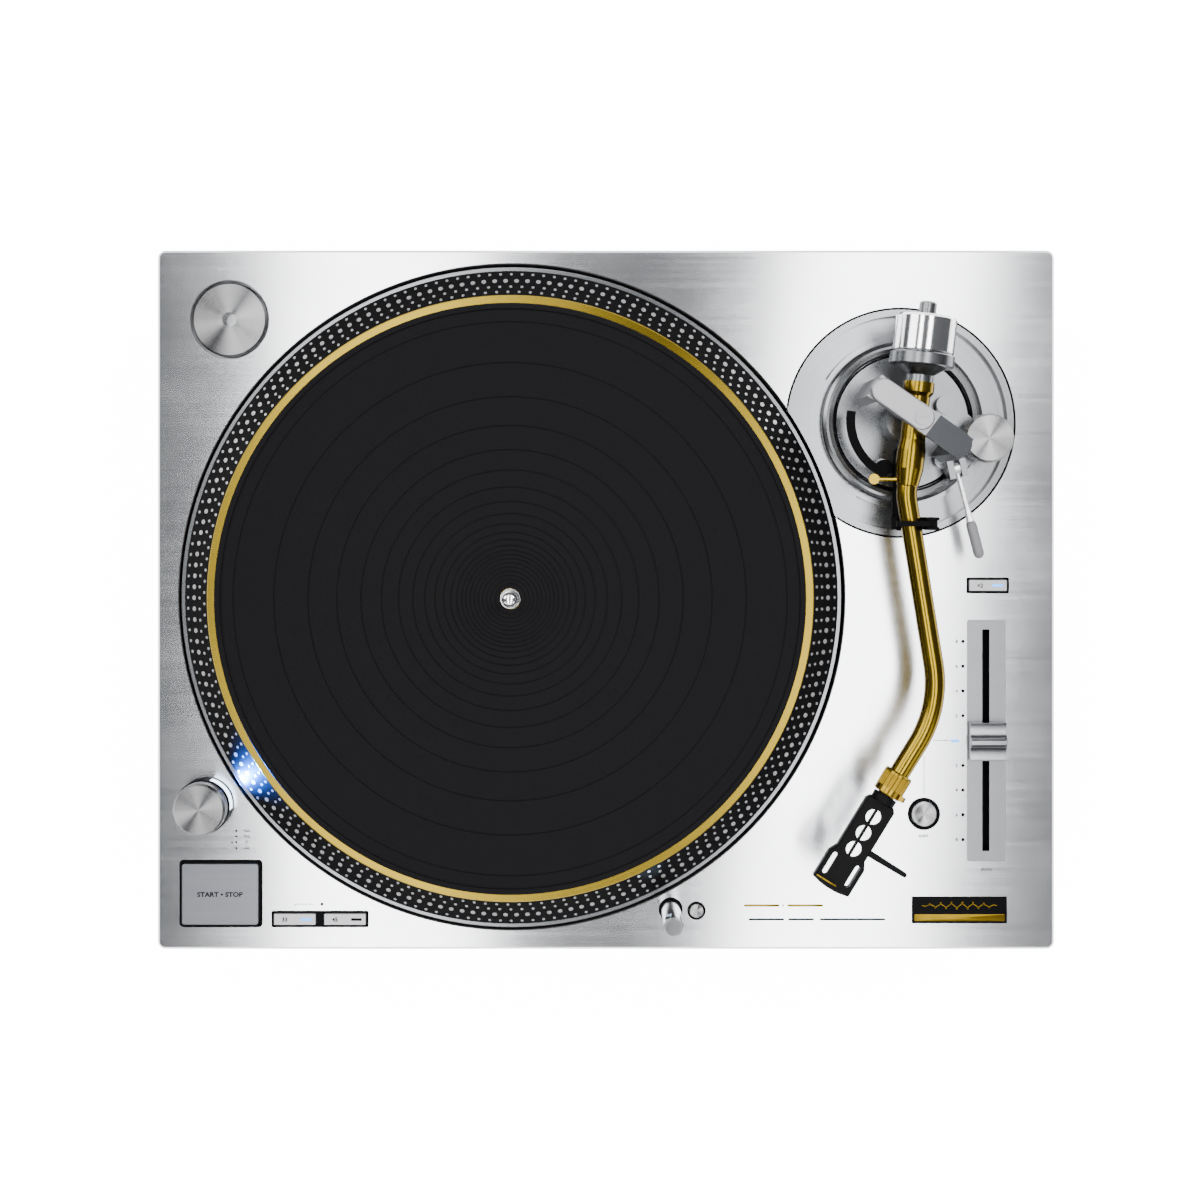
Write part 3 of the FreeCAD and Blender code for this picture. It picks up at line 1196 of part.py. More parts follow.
def rest_block(left, right, depth, low, high, y=0.0):
    """A block of the arm rest, between two offsets from the arm's upright axis."""
    return block(from_pivot(V((left + right) / 2, REST.y + y, 0)), right - left, depth, low, high)


def make_arm_rest():
    """The rest: a strip from the platform, a post and a cradle, with ears for the clamp's hinge."""
    floor = AXIS_Z - TUBE_RADIUS - 2.1
    root = V(-0.8, -16.0, 0)
    ear_top = CLAMP_UNDERSIDE + 2.4
    right_top = CLAMP_UNDERSIDE - 2.0
    shape = bar(from_pivot(root), from_pivot(REST), 8.0, BRIDGE_LOW, BRIDGE_TOP).fuse([
        bar(from_pivot(root), from_pivot(V(-1.3, -27.5, 0)), 8.0, PLATFORM_TOP, BRIDGE_TOP),
        rest_block(-6.0, 2.0, REST_DEPTH, BRIDGE_LOW, floor - 3.0),
        rest_block(REST_LEFT[0], REST_RIGHT[1], REST_DEPTH, floor - 4.0, floor),
        rest_block(REST_LEFT[0], REST_LEFT[1], REST_DEPTH, floor - 1.0, floor + 1.5),
        rest_block(REST_RIGHT[0], REST_RIGHT[1], REST_DEPTH, floor - 1.0, right_top),
    ])
    ear = (REST_DEPTH - CLAMP_WIDTH - 0.8) / 2
    ears = []
    for side in (-1, 1):
        ears.append(rest_block(*REST_RIGHT, ear, right_top - 1.0, ear_top, side * (REST_DEPTH - ear) / 2))
    return shape.fuse(ears).cut(clamp_rod(CLAMP_PIN + RUNNING, REST_DEPTH + 2.0))


def clamp_rod(radius, length):
    """A rod along the clamp's hinge line."""
    middle = at(from_pivot(V((REST_RIGHT[0] + REST_RIGHT[1]) / 2, REST.y, 0)), CLAMP_UNDERSIDE + 0.9)
    return rod(middle - V(0, length / 2, 0), middle + V(0, length / 2, 0), radius)


def make_arm_clamp():
    """The thin bar that closes over the tube, with its hinge pin."""
    hinge_x = (REST_RIGHT[0] + REST_RIGHT[1]) / 2
    strip = rest_block(hinge_x - CLAMP_LENGTH, hinge_x, CLAMP_WIDTH, CLAMP_UNDERSIDE, CLAMP_UNDERSIDE + 1.8)
    return strip.fuse([clamp_rod(1.6, CLAMP_WIDTH), clamp_rod(CLAMP_PIN, REST_DEPTH)])


save("arm_base", make_arm_base())
save("height_ring", make_height_ring())
save("arm_platform", make_arm_platform())
save("arm_yoke", make_arm_yoke())
save("antiskate_base", make_antiskate_base())
save("antiskate_knob", make_antiskate_knob())
save("cue_lever", make_cue_lever())
save("cue_lifter", make_cue_lifter())
save("arm_rest", make_arm_rest())
save("arm_clamp", make_arm_clamp())
save("gimbal_ring", make_gimbal_ring())
save("arm_barrel", make_arm_barrel())
save("arm_tube", make_arm_tube())
save("rear_shaft", make_rear_shaft())
save("weight_bush", make_weight_bush())
save("counterweight", make_counterweight())
save("force_dial", make_force_dial())
save("locking_collar", make_locking_collar())
save("headshell", make_headshell())
save("finger_lift", make_finger_lift())
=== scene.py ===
"""A direct-drive record player with a gimballed tonearm: finishes, printed marks and fine detail."""
import json
import logging
import math
from dataclasses import dataclass
from enum import Enum

import bmesh
import bpy
import numpy as np
from mathutils import Euler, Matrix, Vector


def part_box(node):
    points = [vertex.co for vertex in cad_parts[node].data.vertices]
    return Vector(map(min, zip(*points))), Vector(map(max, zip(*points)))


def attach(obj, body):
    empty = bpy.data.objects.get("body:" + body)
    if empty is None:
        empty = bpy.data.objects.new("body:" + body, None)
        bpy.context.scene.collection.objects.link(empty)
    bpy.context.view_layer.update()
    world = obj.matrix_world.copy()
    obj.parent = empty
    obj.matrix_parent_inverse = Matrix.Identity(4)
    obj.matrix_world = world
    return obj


logging.basicConfig(level=logging.INFO, format="%(message)s")
LOG = logging.getLogger("record_player")
MM = 0.001
INK = 0.00004
BOLD = 0.035
PRINT_RISE = 0.05
WORKED = "worked_"
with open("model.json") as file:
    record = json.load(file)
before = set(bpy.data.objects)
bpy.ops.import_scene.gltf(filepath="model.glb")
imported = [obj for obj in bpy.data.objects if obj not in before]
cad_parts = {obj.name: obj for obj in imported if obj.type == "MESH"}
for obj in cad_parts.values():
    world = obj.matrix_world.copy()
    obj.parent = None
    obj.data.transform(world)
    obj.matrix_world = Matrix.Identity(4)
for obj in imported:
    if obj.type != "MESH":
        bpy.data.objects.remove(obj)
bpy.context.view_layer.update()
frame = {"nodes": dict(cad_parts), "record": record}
Point = tuple[float, float, float]
Colour = tuple[float, float, float]
Socket = bpy.types.NodeSocket
Solid = tuple[np.ndarray, np.ndarray]


# ---- Places read from the frame ----
def middle(node: str) -> np.ndarray:
    """The centre of a node's box at rest, in metres.

    Args:
        node: the CAD node's name.

    Returns:
        The point as an array of three numbers.
    """
    low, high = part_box(node)
    return (np.array(low) + np.array(high)) / 2


def top_of(node: str) -> float:
    """The height of a node's highest point.

    Args:
        node: the CAD node's name.

    Returns:
        The height in metres.
    """
    return float(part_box(node)[1][2])


def place_of(values: np.ndarray) -> Point:
    """A place as three plain numbers.

    Args:
        values: the point as an array.

    Returns:
        The same point as a tuple.
    """
    return tuple(float(value) for value in values)


def joint(name: str) -> dict:
    """The record's joint of one name.

    Args:
        name: the joint's name.

    Returns:
        The joint's entry in the record.
    """
    return next(item for item in frame["record"]["behaviour"]["joints"] if item["name"] == name)


DECK_Z = top_of("top_panel")
PLATTER_AXIS = middle("spindle")
PIVOT = np.array(joint("arm_swing")["pos_m"])
HEAD_AXIS = np.array(joint("collar_turn")["axis"])
HEAD_SIDE = np.array([-HEAD_AXIS[1], HEAD_AXIS[0], 0.0])
UP = np.array([0.0, 0.0, 1.0])


def on_deck(x: float, y: float) -> np.ndarray:
    """A place on the deck's top.

    Args:
        x: how far right of the middle it is, in millimetres.
        y: how far behind the middle it is, in millimetres.

    Returns:
        The point in metres.
    """
    return np.array([x * MM, y * MM, DECK_Z])


# ---- Node groups shared by the finishes ----
def new_group(name: str, inputs: list[tuple[str, str, float]],
              outputs: list[tuple[str, str]]) -> bpy.types.NodeTree:
    """An empty shader node group with named sockets.

    Args:
        name: the group's name.
        inputs: each input's name, socket type and default.
        outputs: each output's name and socket type.

    Returns:
        The new node tree.
    """
    tree = bpy.data.node_groups.new(name, "ShaderNodeTree")
    for label, kind, default in inputs:
        socket = tree.interface.new_socket(name=label, in_out="INPUT", socket_type=kind)
        if kind == "NodeSocketFloat":
            socket.default_value = default
    for label, kind in outputs:
        tree.interface.new_socket(name=label, in_out="OUTPUT", socket_type=kind)
    return tree


class Wires:
    """Small helper that adds and links nodes in one tree."""

    def __init__(self, tree: bpy.types.NodeTree) -> None:
        """Keep the tree.

        Args:
            tree: the tree that nodes go into.
        """
        self.tree = tree

    def add(self, kind: str, **values: object) -> bpy.types.Node:
        """Add a node and set its plain properties.

        Args:
            kind: the node's Blender type name.
            **values: properties to set on it.

        Returns:
            The new node.
        """
        node = self.tree.nodes.new(kind)
        for key, value in values.items():
            setattr(node, key, value)
        return node

    def link(self, source: Socket, target: Socket) -> None:
        """Join two sockets.

        Args:
            source: the output.
            target: the input.
        """
        self.tree.links.new(source, target)

    def math(self, operation: str, first: object, second: object = None) -> Socket:
        """A math node on sockets or numbers.

        Args:
            operation: the math operation's name.
            first: a socket or a number.
            second: a socket, a number or nothing.

        Returns:
            The node's output socket.
        """
        node = self.add("ShaderNodeMath", operation=operation)
        for slot, value in enumerate((first, second)):
            if isinstance(value, Socket):
                self.link(value, node.inputs[slot])
            elif value is not None:
                node.inputs[slot].default_value = value
        return node.outputs[0]

    def noise(self, vector: Socket, scale: object, detail: float = 4.0, rough: float = 0.55) -> Socket:
        """A noise texture's value on a vector.

        Args:
            vector: where to read the noise.
            scale: a number or a socket.
            detail: octaves.
            rough: how strong the finer octaves are.

        Returns:
            The value socket.
        """
        node = self.add("ShaderNodeTexNoise")
        node.inputs["Detail"].default_value = detail
        node.inputs["Roughness"].default_value = rough
        self.link(vector, node.inputs["Vector"])
        if isinstance(scale, Socket):
            self.link(scale, node.inputs["Scale"])
        else:
            node.inputs["Scale"].default_value = scale
        return node.outputs["Fac"]

    def mix(self, factor: Socket, first: object, second: object) -> Socket:
        """Mix two colours.

        Args:
            factor: 0 gives the first and 1 the second.
            first: a triple or a socket.
            second: a triple or a socket.

        Returns:
            The mixed colour.
        """
        node = self.add("ShaderNodeMix", data_type="RGBA")
        self.link(factor, node.inputs[0])
        for slot, value in ((6, first), (7, second)):
            if isinstance(value, Socket):
                self.link(value, node.inputs[slot])
            else:
                node.inputs[slot].default_value = (*value, 1)
        return node.outputs[2]

    def bump(self, height: Socket, strength: float, depth: float) -> Socket:
        """A bump from a height.

        Args:
            height: the height socket.
            strength: how strong the bump is.
            depth: its depth in metres.

        Returns:
            The normal socket.
        """
        node = self.add("ShaderNodeBump")
        node.inputs["Strength"].default_value = strength
        node.inputs["Distance"].default_value = depth
        self.link(height, node.inputs["Height"])
        return node.outputs[0]

    def spread(self, value: Socket, low: object, high: object) -> Socket:
        """Map a 0 to 1 value onto a range.

        Args:
            value: the value's socket.
            low: the low end, a number or a socket.
            high: the high end, a number or a socket.

        Returns:
            The mapped value.
        """
        node = self.add("ShaderNodeMapRange")
        self.link(value, node.inputs["Value"])
        for name, end in (("To Min", low), ("To Max", high)):
            if isinstance(end, Socket):
                self.link(end, node.inputs[name])
            else:
                node.inputs[name].default_value = end
        return node.outputs["Result"]


def blank_material(name: str) -> tuple[bpy.types.Material, Wires, bpy.types.Node]:
    """A material with an output and a Principled BSDF.

    Args:
        name: the material's name.

    Returns:
        The material, a helper for its nodes, and the shader node.
    """
    mat = bpy.data.materials.new(name)
    mat.use_nodes = True
    mat.node_tree.nodes.clear()
    wires = Wires(mat.node_tree)
    out = wires.add("ShaderNodeOutputMaterial")
    shader = wires.add("ShaderNodeBsdfPrincipled")
    wires.link(shader.outputs[0], out.inputs[0])
    return mat, wires, shader


def grain_group() -> bpy.types.NodeTree:
    """Straight brushing: noise on a position squeezed along one direction, so that it draws out into lines.

    Returns:
        A group with Vector, Scale and Stretch in, and Height and Tone out.
    """
    sockets = [("Vector", "NodeSocketVector", 0.0), ("Scale", "NodeSocketFloat", 2500.0),
               ("Stretch", "NodeSocketFloat", 0.01)]
    tree = new_group("straight_grain", sockets, [("Height", "NodeSocketFloat"), ("Tone", "NodeSocketFloat")])
    wires = Wires(tree)
    inside = wires.add("NodeGroupInput")
    outside = wires.add("NodeGroupOutput")
    split = wires.add("ShaderNodeSeparateXYZ")
    join = wires.add("ShaderNodeCombineXYZ")
    wires.link(inside.outputs["Vector"], split.inputs[0])
    wires.link(wires.math("MULTIPLY", split.outputs["X"], inside.outputs["Stretch"]), join.inputs["X"])
    wires.link(split.outputs["Y"], join.inputs["Y"])
    wires.link(split.outputs["Z"], join.inputs["Z"])
    fine = wires.noise(join.outputs[0], inside.outputs["Scale"], 3.0)
    broad = wires.noise(join.outputs[0], wires.math("MULTIPLY", inside.outputs["Scale"], 0.12), 2.0)
    wires.link(fine, outside.inputs["Height"])
    wires.link(wires.math("MULTIPLY", wires.math("ADD", fine, broad), 0.5), outside.inputs["Tone"])
    return tree


def spun_group() -> bpy.types.NodeTree:
    """Spun rings: noise read on the distance from an upright axis, with painted highlight and shade by angle:
    bright and dark sectors that stand in for the bow-tie reflection of spun metal.

    Returns:
        A group with Vector and Scale in, and Height, Tone and Angle out.
    """
    sockets = [("Vector", "NodeSocketVector", 0.0), ("Scale", "NodeSocketFloat", 2500.0)]
    tree = new_group("spun_rings", sockets,
        [("Height", "NodeSocketFloat"), ("Tone", "NodeSocketFloat"), ("Angle", "NodeSocketFloat")])
    wires = Wires(tree)
    inside = wires.add("NodeGroupInput")
    outside = wires.add("NodeGroupOutput")
    split = wires.add("ShaderNodeSeparateXYZ")
    wires.link(inside.outputs["Vector"], split.inputs[0])
    across = wires.math("MULTIPLY", split.outputs["X"], split.outputs["X"])
    along = wires.math("MULTIPLY", split.outputs["Y"], split.outputs["Y"])
    radius = wires.math("SQRT", wires.math("ADD", across, along))
    join = wires.add("ShaderNodeCombineXYZ")
    wires.link(radius, join.inputs["X"])
    wires.link(split.outputs["Z"], join.inputs["Z"])
    fine = wires.noise(join.outputs[0], inside.outputs["Scale"], 3.0)
    broad = wires.noise(join.outputs[0], wires.math("MULTIPLY", inside.outputs["Scale"], 0.2), 2.0)
    # Painted highlight and shade: two-fold and three-fold sectors by angle, bright and dark as the lamps'
    # bow-tie reflection would be; the sweep below is this painted highlight.
    angle = wires.math("ARCTAN2", split.outputs["Y"], split.outputs["X"])
    twofold = wires.math("SINE", wires.math("MULTIPLY", wires.math("ADD", angle, 0.6), 2.0))
    threefold = wires.math("SINE", wires.math("MULTIPLY", wires.math("ADD", angle, 1.1), 3.0))
    wide = wires.math("POWER", wires.math("ABSOLUTE", twofold), 1.6)
    sweep = wires.math("ADD", wires.math("MULTIPLY", wide, 0.7),
                       wires.math("MULTIPLY", wires.math("ABSOLUTE", threefold), 0.3))
    wires.link(fine, outside.inputs["Height"])
    wires.link(wires.math("MULTIPLY", wires.math("ADD", fine, broad), 0.5), outside.inputs["Tone"])
    wires.link(sweep, outside.inputs["Angle"])
    return tree


def handling_group() -> bpy.types.NodeTree:
    """Light handling marks: broad and fine noise mixed into a mask of duller patches and specks of dust.

    Returns:
        A group with Vector in, and Smudge and Dust out.
    """
    tree = new_group("handling_marks", [("Vector", "NodeSocketVector", 0.0)],
                     [("Smudge", "NodeSocketFloat"), ("Dust", "NodeSocketFloat")])
    wires = Wires(tree)
    inside = wires.add("NodeGroupInput")
    outside = wires.add("NodeGroupOutput")
    broad = wires.noise(inside.outputs["Vector"], 22.0, 5.0, 0.6)
    wires.link(wires.spread(wires.math("POWER", broad, 2.0), 0.0, 1.0), outside.inputs["Smudge"])
    specks = wires.noise(inside.outputs["Vector"], 1400.0, 2.0, 0.4)
    wires.link(wires.math("GREATER_THAN", specks, 0.76), outside.inputs["Dust"])
    return tree


class Groups:
    """The shared node groups, each built once."""

    def __init__(self) -> None:
        """Build every group."""
        self.grain = grain_group()
        self.spun = spun_group()
        self.handling = handling_group()


GROUPS = Groups()


class Texture(Enum):
    """How a surface is worked."""

    GRAIN_X = "brushed along X"
    SPUN = "spun about an upright axis"
    CAST = "fine cast or moulded grain"
    POLISHED = "polished"


@dataclass(frozen=True)
class Finish:
    """One surface finish, made into a material on demand."""

    name: str
    colour: Colour
    dark: Colour
    metallic: float = 1.0
    rough_low: float = 0.2
    rough_high: float = 0.35
    texture: Texture = Texture.CAST
    centre: Point = (0.0, 0.0, 0.0)
    scale: float = 2500.0
    stretch: float = 0.01
    bump: float = 0.1
    bump_depth: float = 0.00003
    anisotropy: float = 0.0
    coat: float = 0.0
    specular: float = 0.5
    dust: float = 0.02
    # sweep: how much painted highlight and shade, the spun group's bright and dark sectors by angle, goes
    # into the tone.
    sweep: float = 0.0

    def material(self) -> bpy.types.Material:
        """The finish as a node material, built once.

        Returns:
            The material: grain drives colour, roughness and bump, and handling marks dull it in patches.
        """
        found = bpy.data.materials.get(WORKED + self.name)
        if found:
            return found
        mat, wires, shader = blank_material(WORKED + self.name)
        colour, rough, height = self.surface(wires)
        wires.link(colour, shader.inputs["Base Color"])
        wires.link(rough, shader.inputs["Roughness"])
        wires.link(wires.bump(height, self.bump, self.bump_depth), shader.inputs["Normal"])
        shader.inputs["Metallic"].default_value = self.metallic
        self.shine(wires, shader)
        return mat

    def shine(self, wires: Wires, shader: bpy.types.Node) -> None:
        """Set the coat, the specular level and the stretched highlight of worked metal.

        Args:
            wires: the material's node helper.
            shader: the Principled BSDF.
        """
        shader.inputs["Coat Weight"].default_value = self.coat
        shader.inputs["Specular IOR Level"].default_value = self.specular
        if self.anisotropy:
            shader.inputs["Anisotropic"].default_value = self.anisotropy
            straight = self.texture is Texture.GRAIN_X
            shader.inputs["Anisotropic Rotation"].default_value = 0.0 if straight else 0.25
            tangent = wires.add("ShaderNodeTangent", direction_type="RADIAL", axis="X" if straight else "Z")
            wires.link(tangent.outputs[0], shader.inputs["Tangent"])

    def surface(self, wires: Wires) -> tuple[Socket, Socket, Socket]:
        """The colour, roughness and height of this finish.

        Args:
            wires: the material's node helper.

        Returns:
            The three sockets.
        """
        place = wires.add("ShaderNodeTexCoord")
        shift = wires.add("ShaderNodeMapping")
        shift.inputs["Location"].default_value = tuple(-c for c in self.centre)
        wires.link(place.outputs["Object"], shift.inputs["Vector"])
        height, tone = self.worked(wires, shift.outputs[0])
        marks = wires.add("ShaderNodeGroup", node_tree=GROUPS.handling)
        wires.link(place.outputs["Object"], marks.inputs["Vector"])
        colour = wires.mix(tone, self.dark, self.colour)
        dusty = wires.mix(wires.math("MULTIPLY", marks.outputs["Dust"], self.dust), colour,
                          (0.55, 0.54, 0.52))
        duller = wires.math("MULTIPLY", marks.outputs["Smudge"], 0.1)
        rough = wires.math("ADD", wires.spread(tone, self.rough_low, self.rough_high), duller)
        return dusty, rough, height

    def worked(self, wires: Wires, vector: Socket) -> tuple[Socket, Socket]:
        """The height and tone of the worked surface.

        Args:
            wires: the material's node helper.
            vector: the position, centred on the piece.

        Returns:
            The height socket and the tone socket.
        """
        if self.texture is Texture.GRAIN_X:
            group = wires.add("ShaderNodeGroup", node_tree=GROUPS.grain)
            group.inputs["Stretch"].default_value = self.stretch
        elif self.texture is Texture.SPUN:
            group = wires.add("ShaderNodeGroup", node_tree=GROUPS.spun)
        else:
            fine = wires.noise(vector, self.scale, 3.0 if self.texture is Texture.CAST else 1.0)
            broad = wires.noise(vector, self.scale * 0.06, 3.0)
            return fine, wires.math("MULTIPLY", wires.math("ADD", fine, broad), 0.5)
        group.inputs["Scale"].default_value = self.scale
        wires.link(vector, group.inputs["Vector"])
        tone = group.outputs["Tone"]
        # Painted highlight and shade: the sectors by angle are mixed into the tone, which drives the colour.
        if self.sweep:
            rings = wires.math("MULTIPLY", tone, 1 - self.sweep)
            tone = wires.math("ADD", rings, wires.math("MULTIPLY", group.outputs["Angle"], self.sweep))
        return group.outputs["Height"], tone


@dataclass(frozen=True)
class TwoTone:
    """Two finishes on one piece, parted at a distance from an axis or along a direction: real two-tone paint
    on some pieces, painted light and shade on others.
    """

    name: str
    near: Finish
    far: Finish
    origin: Point
    limit: float
    along: Point | None = None

    def material(self) -> bpy.types.Material:
        """The two finishes mixed by a hard mask, built once.

        Returns:
            The material: the mask is 1 where the distance from the upright axis, or along the direction,
            passes the limit.
        """
        found = bpy.data.materials.get(WORKED + self.name)
        if found:
            return found
        mat, wires, shader = blank_material(WORKED + self.name)
        mask = wires.math("GREATER_THAN", self.distance(wires), self.limit)
        colours, roughs, heights = zip(self.near.surface(wires), self.far.surface(wires))
        wires.link(wires.mix(mask, *colours), shader.inputs["Base Color"])
        wires.link(wires.spread(mask, *roughs), shader.inputs["Roughness"])
        wires.link(wires.spread(mask, self.near.metallic, self.far.metallic), shader.inputs["Metallic"])
        wires.link(wires.bump(wires.spread(mask, *heights), self.near.bump, self.near.bump_depth),
                   shader.inputs["Normal"])
        lead = self.far if self.far.anisotropy > self.near.anisotropy else self.near
        lead.shine(wires, shader)
        return mat

    def distance(self, wires: Wires) -> Socket:
        """How far a point is from the axis, or along the direction.

        Args:
            wires: the material's node helper.

        Returns:
            The distance in metres, as a socket.
        """
        place = wires.add("ShaderNodeTexCoord")
        shift = wires.add("ShaderNodeMapping")
        shift.inputs["Location"].default_value = tuple(-c for c in self.origin)
        wires.link(place.outputs["Object"], shift.inputs["Vector"])
        if self.along:
            dot = wires.add("ShaderNodeVectorMath", operation="DOT_PRODUCT")
            wires.link(shift.outputs[0], dot.inputs[0])
            dot.inputs[1].default_value = self.along
            return dot.outputs["Value"]
        flat = wires.add("ShaderNodeVectorMath", operation="MULTIPLY")
        wires.link(shift.outputs[0], flat.inputs[0])
        flat.inputs[1].default_value = (1.0, 1.0, 0.0)
        length = wires.add("ShaderNodeVectorMath", operation="LENGTH")
        wires.link(flat.outputs[0], length.inputs[0])
        return length.outputs["Value"]


# ---- Finishes ----
DECK_METAL = Finish("brushed_deck", (0.76, 0.77, 0.79), (0.62, 0.63, 0.66), 1.0, 0.14, 0.24,
                    Texture.GRAIN_X, scale=2600.0,
                    stretch=0.004, bump=0.16, anisotropy=0.75)
CASE_PAINT = Finish("cast_case_paint", (0.66, 0.67, 0.69), (0.52, 0.53, 0.55), 0.9, 0.34, 0.48, bump=0.2)
BASE_RUBBER = Finish("base_rubber", (0.035, 0.035, 0.037), (0.018, 0.018, 0.019), 0.0, 0.55, 0.75,
                     scale=1800.0, bump=0.4)
FOOT_METAL = Finish("foot_shell", (0.23, 0.23, 0.24), (0.12, 0.12, 0.125), 0.7, 0.32, 0.5, bump=0.2)
MAT_RUBBER = Finish("mat_rubber", (0.0075, 0.0073, 0.0080), (0.0050, 0.0048, 0.0054), 0.0, 0.5, 0.65,
                    scale=2200.0, bump=0.25,
                    specular=0.02)
# The brass ring's sweep paints highlight and shade into its colour: bright and dark sectors by angle.
GOLD_RING = Finish("brass_ring", (0.26, 0.185, 0.022), (0.14, 0.095, 0.008), 1.0, 0.16, 0.3, Texture.SPUN,
                   tuple(PLATTER_AXIS), 1800.0,
                   bump=0.15, sweep=0.4)
ARM_GOLD = Finish("arm_gold", (0.25, 0.170, 0.016), (0.16, 0.105, 0.008), 1.0, 0.13, 0.24, bump=0.04,
                  scale=3200.0)
COLLAR_GOLD = Finish("collar_gold", (0.28, 0.18, 0.02), (0.16, 0.10, 0.008), 1.0, 0.16, 0.28, bump=0.06)
CHROME = Finish("polished_metal", (0.86, 0.86, 0.88), (0.78, 0.78, 0.80), 1.0, 0.06, 0.14, Texture.POLISHED,
                bump=0.03)
STEEL = Finish("zinc_steel", (0.48, 0.48, 0.49), (0.34, 0.34, 0.35), 1.0, 0.25, 0.42)
ARM_SATIN = Finish("arm_satin", (0.20, 0.205, 0.215), (0.11, 0.115, 0.12), 1.0, 0.18, 0.32, bump=0.1)
# Lit and shaded copies of one yoke finish: the light half is painted light, the dark half painted shade.
YOKE_PAINTED_LIT = Finish("yoke_painted_lit", (0.30, 0.30, 0.31), (0.20, 0.20, 0.21), 0.9, 0.3, 0.42, bump=0.16)
YOKE_PAINTED_SHADE = Finish("yoke_painted_shade", (0.050, 0.052, 0.056), (0.034, 0.036, 0.040), 0.9, 0.3, 0.42, bump=0.16)
# Plain black for black parts, also used as painted shade down in the platter's well and in the gaps round the
# arm base.
BLACK_TRIM_AND_PAINTED_SHADE = Finish("black_trim", (0.004, 0.004, 0.0045), (0.0025, 0.0025, 0.0028), 0.0, 0.42, 0.55,
                    bump=0.2, specular=0.015)
BLACK_GLOSS = Finish("black_gloss", (0.004, 0.004, 0.0045), (0.002, 0.002, 0.0022), 0.0, 0.2, 0.3,
                     Texture.POLISHED, bump=0.03, specular=0.02)
SHELL_BLACK = Finish("shell_black", (0.005, 0.005, 0.0055), (0.003, 0.003, 0.0032), 0.0, 0.3, 0.42,
                     bump=0.12, specular=0.03)
PRINT_GREY = Finish("printed_ink", (0.006, 0.006, 0.007), (0.003, 0.003, 0.0035), 0.0, 0.5, 0.6, bump=0.05,
                    specular=0.01)
PRINT_GOLD = Finish("printed_gold", (0.24, 0.155, 0.012), (0.15, 0.095, 0.006), 1.0, 0.25, 0.4, bump=0.05)
DOT_SILVER = Finish("strobe_silver", (0.88, 0.88, 0.89), (0.78, 0.78, 0.79), 0.9, 0.2, 0.32, bump=0.05)
COPPER = Finish("coil_copper", (0.60, 0.26, 0.12), (0.42, 0.16, 0.07), 1.0, 0.25, 0.4, Texture.SPUN,
                tuple(PLATTER_AXIS), 2600.0, bump=0.5)
BOARD_GREEN = Finish("solder_mask", (0.02, 0.14, 0.06), (0.012, 0.09, 0.04), 0.0, 0.3, 0.45, coat=0.2)
MAGNET = Finish("sintered_magnet", (0.10, 0.10, 0.105), (0.06, 0.06, 0.062), 0.6, 0.4, 0.6)


def spun_metal(name: str, centre: np.ndarray, light: float = 0.34) -> Finish:
    """A spun aluminium finish centred on one round piece, with painted highlight and shade: bright and very
    dark sectors by angle painted into its colour.

    Args:
        name: the finish's name.
        centre: the spin axis's place.
        light: the brightest tone.

    Returns:
        The finish.
    """
    # The bright tone is the painted highlight and the dark one, an eighth of it, the painted shade between
    # the lobes; sweep sets how much of the colour they take.
    bright = (light, light, light * 1.01)
    painted_shade_tone = (light * 0.12, light * 0.12, light * 0.13)
    return Finish(name, bright, painted_shade_tone, 1.0, 0.16, 0.34, Texture.SPUN, place_of(centre), 2400.0, bump=0.3,
                  anisotropy=0.6, sweep=0.7)


@dataclass(frozen=True)
class Glow:
    """A lit lens: a soft bright core with slight unevenness."""

    name: str
    colour: Colour
    strength: float

    def material(self) -> bpy.types.Material:
        """The lit lens as a node material, built once.

        Returns:
            The material: noise varies the emitted colour a little.
        """
        found = bpy.data.materials.get(WORKED + self.name)
        if found:
            return found
        mat, wires, shader = blank_material(WORKED + self.name)
        place = wires.add("ShaderNodeTexCoord")
        fine = wires.noise(place.outputs["Object"], 900.0, 2.0)
        colour = wires.mix(fine, tuple(c * 0.75 for c in self.colour), self.colour)
        wires.link(colour, shader.inputs["Emission Color"])
        wires.link(colour, shader.inputs["Base Color"])
        shader.inputs["Emission Strength"].default_value = self.strength
        shader.inputs["Roughness"].default_value = 0.25
        return mat


BLUE_LED = Glow("blue_led", (0.05, 0.32, 1.0), 3.0)
WHITE_LED = Glow("white_led", (0.72, 0.86, 1.0), 6.0)


# ---- Geometry ----
def place_mesh(name: str, verts: np.ndarray, faces: np.ndarray | list, finish: Finish | Glow, body: str,
               slot: str,
               smooth: bool = True) -> bpy.types.Object:
    """Make a mesh object from arrays, weld its seams and poles, and let it ride on a body.

    Args:
        name: the piece's name.
        verts: points in metres, one row each.
        faces: vertex numbers of each face.
        finish: what it is finished in.
        body: the CAD body it moves with.
        slot: the record's material slot; not used.
        smooth: whether its faces are smooth shaded.

    Returns:
        The new object.
    """
    mesh = bpy.data.meshes.new(name)
    mesh.from_pydata(np.asarray(verts).tolist(), [], np.asarray(faces).tolist())
    piece = bpy.data.objects.new(name, mesh)
    bpy.context.collection.objects.link(piece)
    seal(mesh)
    mesh.polygons.foreach_set("use_smooth", np.full(len(mesh.polygons), smooth))
    mesh.materials.append(finish.material())
    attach(piece, body)
    return piece


